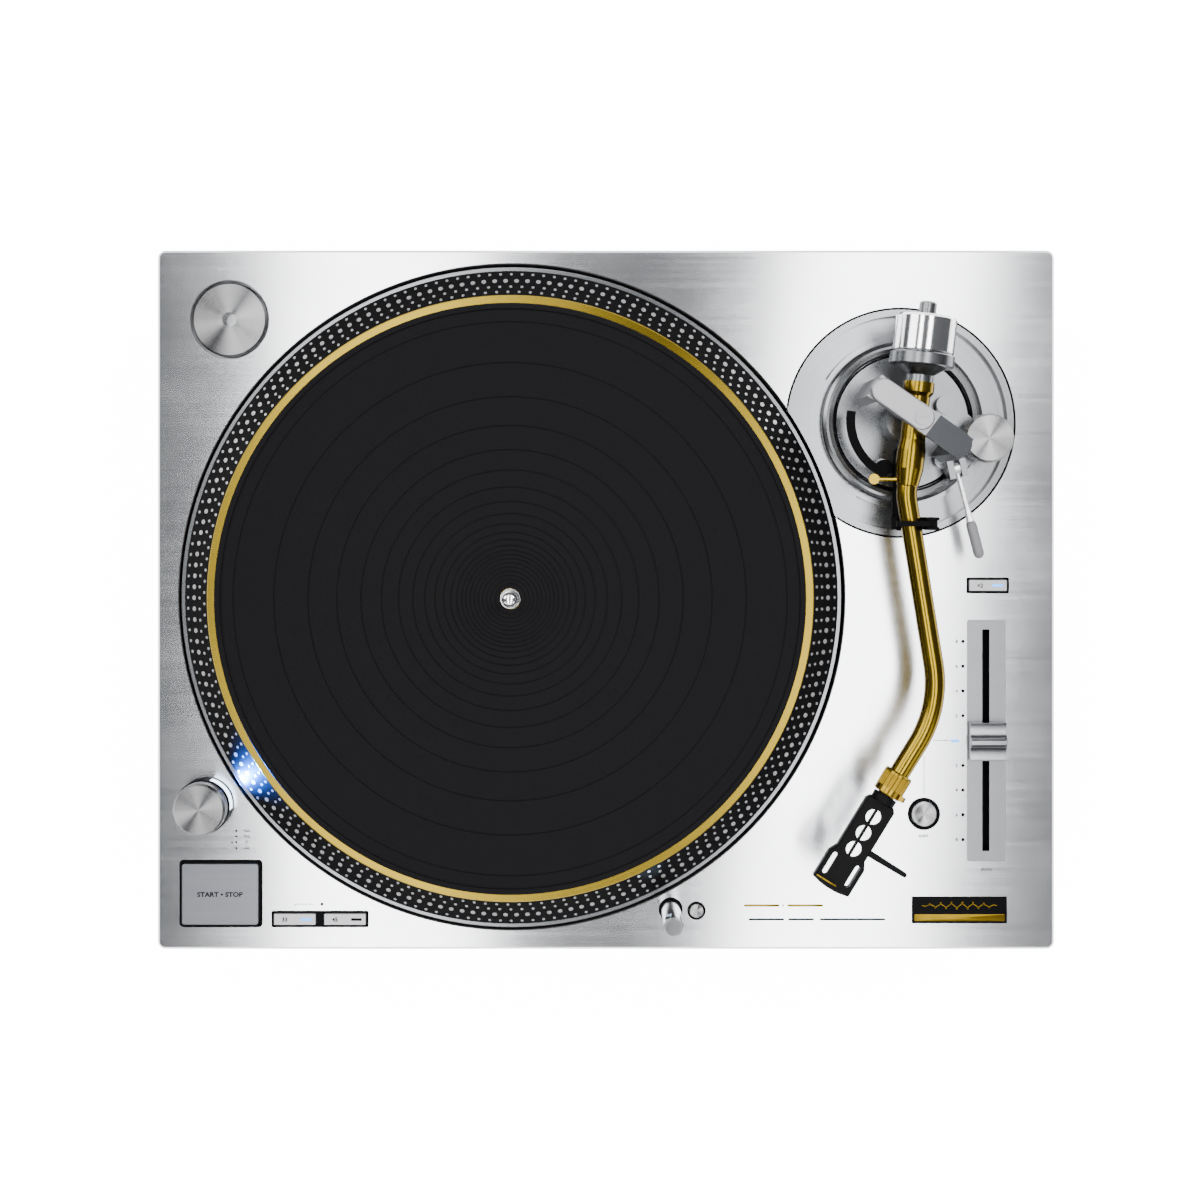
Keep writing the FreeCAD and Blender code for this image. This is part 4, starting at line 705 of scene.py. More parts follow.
def seal(mesh: bpy.types.Mesh) -> None:
    """Weld doubled points, drop faces with no area and point the normals outward.

    Args:
        mesh: the mesh to seal.
    """
    shape = bmesh.new()
    shape.from_mesh(mesh)
    bmesh.ops.remove_doubles(shape, verts=shape.verts, dist=1e-7)
    bmesh.ops.dissolve_degenerate(shape, edges=shape.edges, dist=1e-8)
    bmesh.ops.recalc_face_normals(shape, faces=shape.faces)
    shape.to_mesh(mesh)
    shape.free()


def grid_faces(rows: int, columns: int, close_rows: bool = False, close_columns: bool = False) -> np.ndarray:
    """The four-sided faces of a grid of points numbered row by row.

    Args:
        rows: how many rows of points.
        columns: how many points in a row.
        close_rows: whether the last row joins the first.
        close_columns: whether the last column joins the first.

    Returns:
        An array with four vertex numbers in each row.
    """
    row = np.arange(rows if close_rows else rows - 1)
    column = np.arange(columns if close_columns else columns - 1)
    i, j = np.meshgrid(row, column, indexing="ij")
    after_i, after_j = (i + 1) % rows, (j + 1) % columns
    corners = [i * columns + j, i * columns + after_j, after_i * columns + after_j, after_i * columns + j]
    return np.stack(corners, axis=-1).reshape(-1, 4)


def axes_for(axis: np.ndarray) -> tuple[np.ndarray, np.ndarray, np.ndarray]:
    """Two directions across an axis, and the axis itself, all of unit length.

    Args:
        axis: the axis's direction.

    Returns:
        The two directions across and the direction along.
    """
    along = np.asarray(axis, float) / np.linalg.norm(axis)
    helper = UP if abs(along[2]) < 0.9 else np.array([1.0, 0.0, 0.0])
    across = np.cross(helper, along)
    across /= np.linalg.norm(across)
    return across, np.cross(along, across), along


def lathe(profile: list[tuple[float, float]], origin: np.ndarray, axis: np.ndarray = UP, segments: int = 96,
          ripple: float = 0.0, ripples: int = 0) -> Solid:
    """Turn a closed outline about an axis.

    Each point is origin + r (cos t, sin t) across + d along, for each (r, d) of the outline and each turn t.

    Args:
        profile: (radius, distance) points of a closed outline, in millimetres.
        origin: where the axis starts, in metres.
        axis: the axis's direction.
        segments: how many steps round.
        ripple: how far, in millimetres, a cosine ripple lifts the radius, for knurling.
        ripples: how many ripples go round.

    Returns:
        The points and the faces.
    """
    outline = np.array(profile) * MM
    turn = np.linspace(0, 2 * np.pi, segments, endpoint=False)
    across, other, along = axes_for(axis)
    radius = outline[:, None, 0] + ripple * MM * np.cos(ripples * turn)[None, :] * (outline[:, None, 0] > 0)
    ring = radius[..., None] * (np.cos(turn)[None, :, None] * across + np.sin(turn)[None, :, None] * other)
    points = origin + ring + outline[:, None, 1, None] * along
    return points.reshape(-1, 3), grid_faces(len(outline), segments, True, True)


def sweep(path: np.ndarray, radius: np.ndarray, sides: int = 16) -> Solid:
    """Carry a circle along a path and close it at both ends.

    Each row is the path's point + radius (cos t across + sin t upright).

    Args:
        path: points in metres.
        radius: the circle's radius at each point, in metres.
        sides: points round the circle.

    Returns:
        The points and the faces.
    """
    tangent = np.gradient(path, axis=0)
    tangent /= np.linalg.norm(tangent, axis=1)[:, None]
    across = np.cross(UP, tangent)
    across /= np.linalg.norm(across, axis=1)[:, None]
    upright = np.cross(tangent, across)
    turn = np.linspace(0, 2 * np.pi, sides, endpoint=False)
    ring = np.cos(turn)[None, :, None] * across[:, None] + np.sin(turn)[None, :, None] * upright[:, None]
    points = path[:, None] + radius[:, None, None] * ring
    points = np.concatenate([np.repeat(path[:1, None], sides, 1), points,
                             np.repeat(path[-1:, None], sides, 1)])
    return points.reshape(-1, 3), grid_faces(len(points), sides, False, True)


def rounded_bar(centre: np.ndarray, size: tuple[float, float, float], corner: float,
                turn: float = 0.0) -> Solid:
    """A low bar with rounded corners.

    Four quarter circles give the outline, which is lifted through a bevelled edge to the top.

    Args:
        centre: the middle of its underside, in metres.
        size: width, depth and height in millimetres.
        corner: the corner radius in millimetres.
        turn: how far it is turned about the upright axis, in radians.

    Returns:
        The points and the faces.
    """
    width, depth, height = size
    quarter = np.linspace(0, np.pi / 2, 6)
    angle = np.concatenate([quarter + k * np.pi / 2 for k in range(4)])
    sign_x = np.repeat([1, -1, -1, 1], 6)
    sign_y = np.repeat([1, 1, -1, -1], 6)
    bevel = min(0.25 * height, 0.3 * corner)
    rows = []
    for inset, level in ((width, 0.0), (0.0, 0.0), (0.0, height - bevel), (bevel, height), (width, height)):
        reach = max(corner - inset, 0.0)
        x = sign_x * max(width / 2 - corner - max(inset - corner, 0.0), 0.0) + reach * np.cos(angle)
        y = sign_y * max(depth / 2 - corner - max(inset - corner, 0.0), 0.0) + reach * np.sin(angle)
        rows.append(np.stack([x * np.cos(turn) - y * np.sin(turn), x * np.sin(turn) + y * np.cos(turn),
                              np.full(24, level)], -1))
    points = np.array(rows) * MM + centre
    return points.reshape(-1, 3), grid_faces(5, 24, False, True)


def together(parts: list[Solid]) -> Solid:
    """Several pieces' points and faces joined into one, with the faces' numbers moved up.

    Args:
        parts: each piece's points and faces.

    Returns:
        The joined points and faces.
    """
    starts = np.cumsum([0] + [len(verts) for verts, _ in parts[:-1]])
    verts = np.concatenate([verts for verts, _ in parts])
    faces = np.concatenate([faces + start for (_, faces), start in zip(parts, starts)])
    return verts, faces


def lettering(name: str, words: str, centre: np.ndarray, height: float, finish: Finish, body: str,
              turn: float = 0.0, width: float | None = None) -> bpy.types.Object:
    """Thin printed lettering on a flat top.

    Args:
        name: the piece's name.
        words: generic text or numbers.
        centre: the middle of the text, on the surface, in metres.
        height: the letter size in millimetres.
        finish: the ink.
        body: the CAD body it moves with.
        turn: how far it is turned about the upright axis, in radians.
        width: the whole width in millimetres, if it is to be stretched to one.

    Returns:
        The new object.
    """
    curve = bpy.data.curves.new(name, "FONT")
    curve.body = words
    curve.size = height * MM
    curve.align_x = "CENTER"
    curve.align_y = "CENTER"
    curve.extrude = INK / 2
    curve.offset = height * MM * BOLD
    curve.resolution_u = 3
    holder = bpy.data.objects.new(name, curve)
    bpy.context.collection.objects.link(holder)
    bpy.context.view_layer.update()
    mesh = bpy.data.meshes.new_from_object(holder)
    bpy.data.objects.remove(holder)
    verts = np.empty(len(mesh.vertices) * 3)
    mesh.vertices.foreach_get("co", verts)
    verts = verts.reshape(-1, 3)
    verts[:, :2] -= (verts[:, :2].min(0) + verts[:, :2].max(0)) / 2
    if width:
        verts[:, 0] *= width * MM / np.ptp(verts[:, 0])
    x, y = verts[:, 0].copy(), verts[:, 1].copy()
    verts[:, 0] = x * np.cos(turn) - y * np.sin(turn)
    verts[:, 1] = x * np.sin(turn) + y * np.cos(turn)
    verts += np.asarray(centre) + (0, 0, INK / 2)
    mesh.vertices.foreach_set("co", verts.ravel())
    mesh.materials.clear()
    mesh.materials.append(finish.material())
    seal(mesh)
    piece = bpy.data.objects.new(name, mesh)
    bpy.context.collection.objects.link(piece)
    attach(piece, body)
    return piece


def dress(finish: Finish | Glow, *nodes: str) -> None:
    """Give CAD nodes a finish.

    Args:
        finish: the finish.
        *nodes: the nodes' names.
    """
    for node in nodes:
        paint(finish.material(), node)


def paint(material: bpy.types.Material, node: str) -> None:
    """Put one material in every slot of a CAD node.

    Args:
        material: the material.
        node: the node's name.
    """
    piece = frame["nodes"][node]
    if not piece.material_slots:
        piece.data.materials.append(material)
    for item in piece.material_slots:
        item.material = material


# ---- Sub-assemblies ----
def soft_box(name: str, place: Point, size: tuple[float, float], power: float, aim: Point,
             turn: float = 0.0) -> None:
    """A rectangular studio light.

    Args:
        name: the light's name.
        place: where it hangs, in metres.
        size: its width and depth.
        power: its power in watts.
        aim: the point that it faces.
        turn: how far it is turned about its own axis, in degrees.
    """
    lamp = bpy.data.lights.new(name, "AREA")
    lamp.shape = "RECTANGLE"
    lamp.size, lamp.size_y = size
    lamp.energy = power
    holder = bpy.data.objects.new(name, lamp)
    holder.location = place
    direction = Vector(aim) - Vector(place)
    holder.rotation_euler = (direction.to_track_quat("-Z",
        "Y") @ Euler((0, 0, math.radians(turn))).to_quaternion()).to_euler()
    bpy.context.collection.objects.link(holder)


def glow_spot(name: str, place: np.ndarray, aim: Point, watts: float, colour: Colour, degrees: float) -> None:
    """A small spot that throws a lens's light.

    Args:
        name: the light's name.
        place: the lens's middle, in metres.
        aim: the point that it faces.
        watts: its power.
        colour: its colour.
        degrees: how wide its cone is.
    """
    start = Vector(place)
    way = (Vector(aim) - start).normalized()
    lamp = bpy.data.lights.new(name, "SPOT")
    lamp.energy = watts
    lamp.color = colour
    lamp.spot_size = math.radians(degrees)
    lamp.spot_blend = 0.9
    lamp.shadow_soft_size = 0.002
    holder = bpy.data.objects.new(name, lamp)
    holder.location = start + way * 0.004
    holder.rotation_euler = way.to_track_quat("-Z", "Y").to_euler()
    bpy.context.collection.objects.link(holder)


@dataclass
class Studio:
    """A seamless pale floor, strip lights whose reflections band the deck, and the camera straight above."""

    camera_height: float = 0.976
    camera_x: float = -0.003
    camera_y: float = 0.0502
    lens: float = 51.7
    shift_y: float = -0.083
    floor_size: float = 8.0
    world_light: float = 0.14
    floor_glow: float = 2.2
    backdrop_glow: float = 12.0
    strip_size: tuple[float, float] = (0.20, 2.2)
    strip_watts: float = 14.0
    strips: tuple[tuple[str, float, float], ...] = (("strip_left", -0.225, 0.0), ("strip_right", 0.262, -5.0))
    fills: tuple[tuple[str, Point, float, float, float], ...] = (
        ("key_right", (1.5, 1.1, 1.6), 0.8, 30.0, 0.1),
        ("fill_left", (-1.7, 0.9, 1.5), 1.2, 30.0, 0.1),
        ("fill_front_left", (-1.5, -1.3, 1.4), 1.0, 8.0, 0.05),
        ("fill_front_right", (1.6, -1.2, 1.4), 1.0, 8.0, 0.05))

    def build(self) -> None:
        """Build the floor, the lights, the world and the camera."""
        half = self.floor_size / 2
        corners = np.array([(-half, -half, 0), (half, -half, 0), (half, half, 0), (-half, half, 0)])
        mesh = bpy.data.meshes.new("floor")
        mesh.from_pydata(corners.tolist(), [], [(0, 1, 2, 3)])
        floor = bpy.data.objects.new("floor", mesh)
        bpy.context.collection.objects.link(floor)
        paper = Finish("floor_paper", (0.93, 0.93, 0.93), (0.90, 0.90, 0.90), 0.0, 0.8, 0.9, scale=300.0,
                       bump=0.05, dust=0.0)
        sheet = paper.material()
        shader = next(node for node in sheet.node_tree.nodes if node.type == "BSDF_PRINCIPLED")
        shader.inputs["Emission Color"].default_value = (1.0, 1.0, 1.0, 1.0)
        wires = Wires(sheet.node_tree)
        seen = wires.math("MULTIPLY", wires.add("ShaderNodeLightPath").outputs["Is Camera Ray"],
                          self.backdrop_glow)
        wires.link(wires.math("ADD", seen, self.floor_glow), shader.inputs["Emission Strength"])
        mesh.materials.append(sheet)
        self.lights()
        camera = bpy.data.cameras.new("camera")
        camera.lens = self.lens
        camera.sensor_width = 36.0
        camera.shift_y = self.shift_y
        holder = bpy.data.objects.new("camera", camera)
        holder.location = (self.camera_x, self.camera_y, self.camera_height)
        bpy.context.collection.objects.link(holder)
        bpy.context.scene.camera = holder
        LOG.info("studio built")

    def lights(self) -> None:
        """Two long strips beside the camera, wide soft fills outside them and an even world."""
        world = bpy.data.worlds.new("soft_room")
        world.use_nodes = True
        back = world.node_tree.nodes["Background"]
        back.inputs["Color"].default_value = (0.94, 0.97, 1.0, 1)
        back.inputs["Strength"].default_value = self.world_light
        bpy.context.scene.world = world
        for name, x, turn in self.strips:
            soft_box(name, (x, 0.0, self.camera_height), self.strip_size, self.strip_watts, (x, 0.0, 0.0),
                     turn)
        for name, place, side, watts, height in self.fills:
            soft_box(name, place, (side, side), watts, (0.0, 0.0, height))


@dataclass
class Case:
    """The deck plate, the cast frame, the rubber tray, the feet, the rear sockets and the inner parts."""

    well_edge: float = 168.5
    well_floor: float = 170.0
    foot_names: tuple[str, ...] = ("foot_front_left", "foot_front_right", "foot_rear_left", "foot_rear_right")

    def build(self) -> None:
        """Dress every fixed part of the case."""
        edge = place_of(PLATTER_AXIS)
        # Painted shade: inside well_edge the deck plate, and inside well_floor the chassis, take plain black,
        # standing in for the shade down in the gap round the platter.
        paint(TwoTone("deck_painted_well_shade", BLACK_TRIM_AND_PAINTED_SHADE, DECK_METAL, edge, self.well_edge * MM).material(),
              "top_panel")
        paint(TwoTone("chassis_painted_well_shade", BLACK_TRIM_AND_PAINTED_SHADE, CASE_PAINT, edge, self.well_floor * MM).material(),
              "chassis")
        dress(BASE_RUBBER, "rubber_base", "platter_damper")
        dress(FOOT_METAL, *self.foot_names)
        dress(STEEL, "base_screws")
        dress(BLACK_TRIM_AND_PAINTED_SHADE, "pitch_rail", "terminal_panel", "ac_inlet", "hinge_sockets", "lamp_sleeve",
              "button_frames", "strobe_tower")
        dress(COLLAR_GOLD, "rca_jacks", "bearing_housing")
        dress(CHROME, "ground_terminal")
        dress(BOARD_GREEN, "control_board", "power_supply")
        dress(COPPER, "motor_coils")
        dress(MAGNET, "rotor_magnet")
        LOG.info("case dressed")


@dataclass
class Platter:
    """The platter: black dotted cone with a bright lip, brass disc, grooved mat and spindle."""

    cone_outer: float = 164.0
    cone_inner: float = 151.2
    cone_foot: float = 4.0
    cone_head: float = 12.5
    rows: tuple[tuple[int, float, float], ...] = ((171, 152.6, 0.75), (176, 155.4, 0.75), (182, 158.6, 1.2),
                                                  (188, 162.2, 0.75))
    dot_sides: int = 12
    dot_height: float = 0.06

    def build(self) -> None:
        """Dress the platter and set the strobe dots on its cone."""
        lip = Finish("lip_metal", (0.20, 0.205, 0.215), (0.10, 0.105, 0.11), 1.0, 0.15, 0.28, Texture.SPUN,
                     tuple(PLATTER_AXIS), 2200.0)
        black = Finish("cone_black", (0.004, 0.004, 0.0045), (0.002, 0.002, 0.0022), 0.0, 0.3, 0.45,
                       Texture.SPUN, tuple(PLATTER_AXIS), 2200.0,
                       bump=0.1, specular=0.08)
        paint(TwoTone("platter_two_tone", black, lip, tuple(PLATTER_AXIS), self.cone_outer * MM).material(),
              "platter")
        dress(GOLD_RING, "platter_brass")
        dress(MAT_RUBBER, "platter_mat")
        dress(CHROME, "spindle")
        for index, (count, radius, size) in enumerate(self.rows):
            verts, faces = self.dots(count, radius, size)
            place_mesh(f"strobe_row_{index + 1}", verts, faces, DOT_SILVER, "platter", "chrome", smooth=False)
        LOG.info("platter: %d strobe dots", sum(count for count, _, _ in self.rows))

    def dots(self, count: int, radius: float, size: float) -> Solid:
        """One row of dots: thin discs lying on the cone, each rim swept by an angle in the cone's plane.

        Args:
            count: how many dots go round.
            radius: the row's radius in millimetres.
            size: a dot's radius in millimetres.

        Returns:
            The points and the faces.
        """
        share = (self.cone_outer - radius) / (self.cone_outer - self.cone_inner)
        level = DECK_Z + (self.cone_foot + share * (self.cone_head - self.cone_foot)) * MM
        slope = np.array([-(self.cone_outer - self.cone_inner), self.cone_head - self.cone_foot])
        slope = slope / np.linalg.norm(slope)
        place = np.linspace(0, 2 * np.pi, count, endpoint=False)
        out = np.stack([np.cos(place), np.sin(place), np.zeros(count)], -1)
        round_way = np.stack([-np.sin(place), np.cos(place), np.zeros(count)], -1)
        up_slope = slope[0] * out + slope[1] * UP
        normal = slope[1] * out - slope[0] * UP
        centre = np.array([PLATTER_AXIS[0], PLATTER_AXIS[1], level]) + radius * MM * out
        turn = np.linspace(0, 2 * np.pi, self.dot_sides, endpoint=False)
        rim = np.cos(turn)[None, :, None] * round_way[:, None] + np.sin(turn)[None, :, None] * up_slope[:,
                                                                                                        None]
        rings = [centre[:, None] + reach * size * MM * rim + lift * self.dot_height * MM * normal[:, None]
                 for reach, lift in ((0.0, -1.0), (1.0, -1.0), (1.0, 1.0), (0.0, 1.0))]
        points = np.stack(rings, 1)
        one = grid_faces(4, self.dot_sides, False, True)
        step = np.arange(count)[:, None, None] * (4 * self.dot_sides)
        return points.reshape(-1, 3), (one[None] + step).reshape(-1, 4)


@dataclass
class Strobe:
    """The strobe tower's lit window, the power knob and the glow on the platter's edge."""

    window_aim: Point = (-0.165, -0.078, 0.112)
    glow_watts: float = 5.0
    glow_colour: Colour = (0.02, 0.17, 1.0)
    glow_width: float = 110.0

    def build(self) -> None:
        """Dress the knob and the window, and throw the window's light on the platter."""
        dress(spun_metal("power_knob_spun", middle("power_knob")), "power_knob")
        dress(WHITE_LED, "strobe_window")
        window = middle("strobe_window")
        glow_spot("strobe_glow", window, self.window_aim, self.glow_watts, self.glow_colour, self.glow_width)
        LOG.info("strobe built")


@dataclass
class Controls:
    """The push buttons with their legends and lit bars, the target lamp, the adaptor and the name plate."""

    bar_size: Point = (5.4, 1.3, 0.12)
    bar_inset: float = 4.7
    bar_corner: float = 0.4
    number_inset: float = 5.5
    number_size: float = 2.8
    legend_size: float = 3.2
    legend_width: float = 23.0
    lamp_aim: Point = (0.022, -0.134, 0.117)
    lamp_depth: float = 4.0
    lamp_watts: float = 0.35
    lamp_colour: Colour = (0.62, 0.80, 1.0)
    lamp_width: float = 34.0
    strip_size: Point = (45.6, 3.5, 0.06)
    strip_corner: float = 0.5
    strip_rise: float = 2.9
    scroll_size: tuple[float, float] = (38.0, 1.9)
    scroll_rise: float = 9.0
    speed_prints: tuple[tuple[str, str, Finish | Glow], ...] = (
        ("speed_33_button", "33", BLUE_LED),
        ("speed_45_button", "45", BLACK_GLOSS),
        ("range_button", "×2", BLUE_LED))

    def build(self) -> None:
        """Dress the controls and print their legends."""
        satin = Finish("start_satin", (0.17, 0.175, 0.19), (0.12, 0.125, 0.14), 0.9, 0.3, 0.42,
                       Texture.GRAIN_X, scale=3000.0, stretch=0.02, bump=0.08)
        bright = Finish("button_bright", (0.42, 0.42, 0.43), (0.34, 0.34, 0.35), 0.6, 0.3, 0.42, bump=0.05)
        dress(satin, "start_stop_button")
        dress(bright, "speed_33_button", "speed_45_button", "range_button")
        for node in ("reset_button", "lamp_button", "adaptor_45"):
            dress(spun_metal(node + "_spun", middle(node)), node)
        lamp = Finish("lamp_metal", (0.30, 0.30, 0.31), (0.18, 0.18, 0.19), 1.0, 0.1, 0.2, Texture.POLISHED)
        dress(lamp, "target_lamp")
        dress(BLACK_GLOSS, "name_plate")
        start = "start_stop_button"
        legend = middle(start)
        legend[2] = top_of(start)
        lettering("legend_start_stop", "START • STOP", legend, self.legend_size, PRINT_GREY, start,
                  width=self.legend_width)
        for node, words, lit in self.speed_prints:
            self.button_print(node, words, lit)
        self.plate_print()
        lens = middle("target_lamp")
        lens[2] = top_of("target_lamp") - self.lamp_depth * MM
        glow_spot("target_glow", lens, self.lamp_aim, self.lamp_watts, self.lamp_colour, self.lamp_width)
        LOG.info("controls built")

    def button_print(self, node: str, words: str, lit: Finish | Glow) -> None:
        """A speed button's number at its left and its lamp bar at its right.

        Args:
            node: the button's node and body.
            words: its number.
            lit: what its lamp bar is finished in.
        """
        low, high = (np.array(corner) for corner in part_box(node))
        middle_y = (low[1] + high[1]) / 2
        number = np.array([low[0] + self.number_inset * MM, middle_y, high[2]])
        lettering("legend_" + node, words, number, self.number_size, PRINT_GREY, node)
        inset = np.array([high[0] - self.bar_inset * MM, middle_y, high[2]])
        bar = rounded_bar(inset, self.bar_size, self.bar_corner)
        place_mesh("lamp_bar_" + node, *bar, lit, node, "lens")

    def plate_print(self) -> None:
        """The gold strip and a plain scrolled ornament on the black plate."""
        low, high = (np.array(corner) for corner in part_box("name_plate"))
        centre = (low + high) / 2
        strip_place = np.array([centre[0], low[1] + self.strip_rise * MM, high[2]])
        strip = rounded_bar(strip_place, self.strip_size, self.strip_corner)
        place_mesh("plate_strip", *strip, PRINT_GOLD, "case", "gold")
        scroll_place = np.array([centre[0], low[1] + self.scroll_rise * MM, high[2]])
        place_mesh("plate_scroll", *ornament(scroll_place, *self.scroll_size), PRINT_GOLD, "case", "gold")


def ornament(centre: np.ndarray, width: float, height: float) -> Solid:
    """A flat scrolled line, drawn as a ribbon of varied width.

    It follows x = t width / 2 + curl sin(2 waves t) and y = height sin(waves t), and fades at its ends.

    Args:
        centre: its middle on the surface, in metres.
        width: its width in millimetres.
        height: half its height in millimetres.

    Returns:
        The points and the faces.
    """
    t = np.linspace(-1, 1, 361)
    waves = 7 * np.pi
    curl, thin, swell = 0.9, 0.09, 0.13
    x = t * width / 2 + curl * np.sin(2 * waves * t)
    y = height * np.sin(waves * t) * np.cos(0.5 * np.pi * t) ** 0.5
    path = np.stack([x, y, np.zeros_like(t)], -1) * MM + centre
    run = np.gradient(path, axis=0)
    run /= np.linalg.norm(run, axis=1)[:, None]
    side = np.cross(UP, run) * ((thin + swell * np.abs(np.cos(waves * t))) * MM)[:, None]
    lift = UP * PRINT_RISE * MM
    ring = np.stack([path - side, path + side, path + side + lift, path - side + lift], 1)
    ends = [np.repeat(ring[k].mean(0)[None, None], 4, 1) for k in (0, -1)]
    points = np.concatenate([ends[0], ring, ends[1]])
    return points.reshape(-1, 3), grid_faces(len(points), 4, False, True)


def printed_spot(x: float, y: float, radius: float, segments: int) -> Solid:
    """A round printed spot on the deck: a thin disc turned about its upright axis.

    Args:
        x: its place to the right, in millimetres.
        y: its place to the rear, in millimetres.
        radius: its radius in millimetres.
        segments: how many steps round.

    Returns:
        The points and the faces.
    """
    outline = [(0, 0), (radius, 0), (radius, PRINT_RISE), (0, PRINT_RISE)]
    return lathe(outline, on_deck(x, y), segments=segments)


@dataclass
class PitchFader:
    """The pitch control: grooved plate, ribbed slider, scale and centre lamp."""

    scale_x: float = 180.2
    zero_y: float = -71.0
    step: float = 12.5
    steps: int = 4
    dot_radius: float = 0.85
    number_gap: float = 3.2
    number_size: float = 2.2
    lamp_place: tuple[float, float] = (176.2, -71.2)
    lamp_size: Point = (4.4, 1.3, 0.12)
    lamp_corner: float = 0.5

    def build(self) -> None:
        """Dress the fader and print its scale."""
        plate = Finish("pitch_silver", (0.24, 0.245, 0.255), (0.17, 0.175, 0.18), 1.0, 0.24, 0.38,
                       Texture.CAST, scale=2200.0, bump=0.1)
        slider = Finish("slider_metal", (0.34, 0.345, 0.36), (0.22, 0.225, 0.235), 1.0, 0.16, 0.28,
                        Texture.GRAIN_X, scale=2600.0)
        dress(plate, "pitch_plate")
        dress(slider, "pitch_knob")
        index = np.arange(-self.steps, self.steps + 1)
        index = index[index != 0]
        heights = self.zero_y + index * self.step
        dots = together([printed_spot(self.scale_x, y, self.dot_radius, 20) for y in heights])
        place_mesh("pitch_dots", *dots, PRINT_GREY, "case", "black_trim", smooth=False)
        for number, y in zip(np.abs(index) * 2, heights):
            name = f"pitch_number_{'up' if y > self.zero_y else 'down'}_{number}"
            where = on_deck(self.scale_x - self.number_gap, y)
            lettering(name, str(number), where, self.number_size, PRINT_GREY, "case")
        lamp = rounded_bar(on_deck(*self.lamp_place), self.lamp_size, self.lamp_corner)
        place_mesh("pitch_lamp", *lamp, BLUE_LED, "case", "lens")
        LOG.info("pitch fader built")


@dataclass
class Marks:
    """Small generic printing on the deck: leader lines, the strobe key and plain bars, in millimetres."""

    lines: tuple[tuple[float, float, float, float], ...] = (
        (169.0, -70.9, 8.0, 0.3), (160.6, -88.5, 0.3, 19.0), (-152.4, -153.6, 9.5, 0.3),
        (-157.0, -154.2, 0.3, 1.4))
    line_corner: float = 0.12
    loose_spots: tuple[Point, ...] = ((-143.4, -153.6, 0.8), (-188.8, -122.5, 0.5))
    key_words: tuple[str, ...] = ("+6.4", "+3.3", "0", "-3.3")
    key_spot_x: float = -186.6
    key_word_x: float = -181.4
    key_top: float = -116.5
    key_step: float = 2.93
    key_spot: float = 0.55
    key_size: float = 1.7
    gold_middle: tuple[float, float] = (89.6, -154.3)
    gold_diamond: float = 0.9
    gold_reach: float = 11.0
    gold_bar: tuple[float, float] = (18.0, 1.1)
    grey_bars: tuple[tuple[float, float], ...] = ((81.0, 18.0), (98.5, 13.0), (124.5, 33.0))
    grey_y: float = -161.3
    words: tuple[tuple[str, str, float, float, float], ...] = (
        ("reset_word", "RESET", 160.5, -119.2, 1.8), ("pitch_word", "PITCH", 192.0, -136.2, 1.9))

    def build(self) -> None:
        """Print every mark."""
        lines = [rounded_bar(on_deck(x, y), (width, depth, PRINT_RISE), self.line_corner)
                 for x, y, width, depth in self.lines]
        place_mesh("leader_lines", *together(lines), PRINT_GREY, "case", "black_trim", smooth=False)
        rows = [self.key_top - self.key_step * k for k in range(len(self.key_words))]
        spots = list(self.loose_spots) + [(self.key_spot_x, y, self.key_spot) for y in rows]
        discs = [printed_spot(x, y, radius, 16) for x, y, radius in spots]
        place_mesh("deck_spots", *together(discs), PRINT_GREY, "case", "black_trim", smooth=False)
        for k, (words, y) in enumerate(zip(self.key_words, rows)):
            where = on_deck(self.key_word_x, y)
            lettering(f"strobe_key_{k}", words, where, self.key_size, PRINT_GREY, "case")
        self.bars()
        for name, words, x, y, size in self.words:
            lettering(name, words, on_deck(x, y), size, PRINT_GREY, "case")
        LOG.info("deck marks printed")

    def bars(self) -> None:
        """Two gold bars with a small diamond between them, and three grey bars below."""
        x, y = self.gold_middle
        side = self.gold_diamond
        band = [rounded_bar(on_deck(x, y), (side, side, PRINT_RISE), 0.3, math.pi / 4)]
        for sign in (-1, 1):
            place = on_deck(x + sign * self.gold_reach, y)
            band.append(rounded_bar(place, (*self.gold_bar, PRINT_RISE), 0.5))
        place_mesh("deck_gold_bars", *together(band), PRINT_GOLD, "case", "gold")
        grey = [rounded_bar(on_deck(x, self.grey_y), (width, 1.0, PRINT_RISE), 0.4)
                for x, width in self.grey_bars]
        place_mesh("deck_grey_bars", *together(grey), PRINT_GREY, "case", "black_trim", smooth=False)


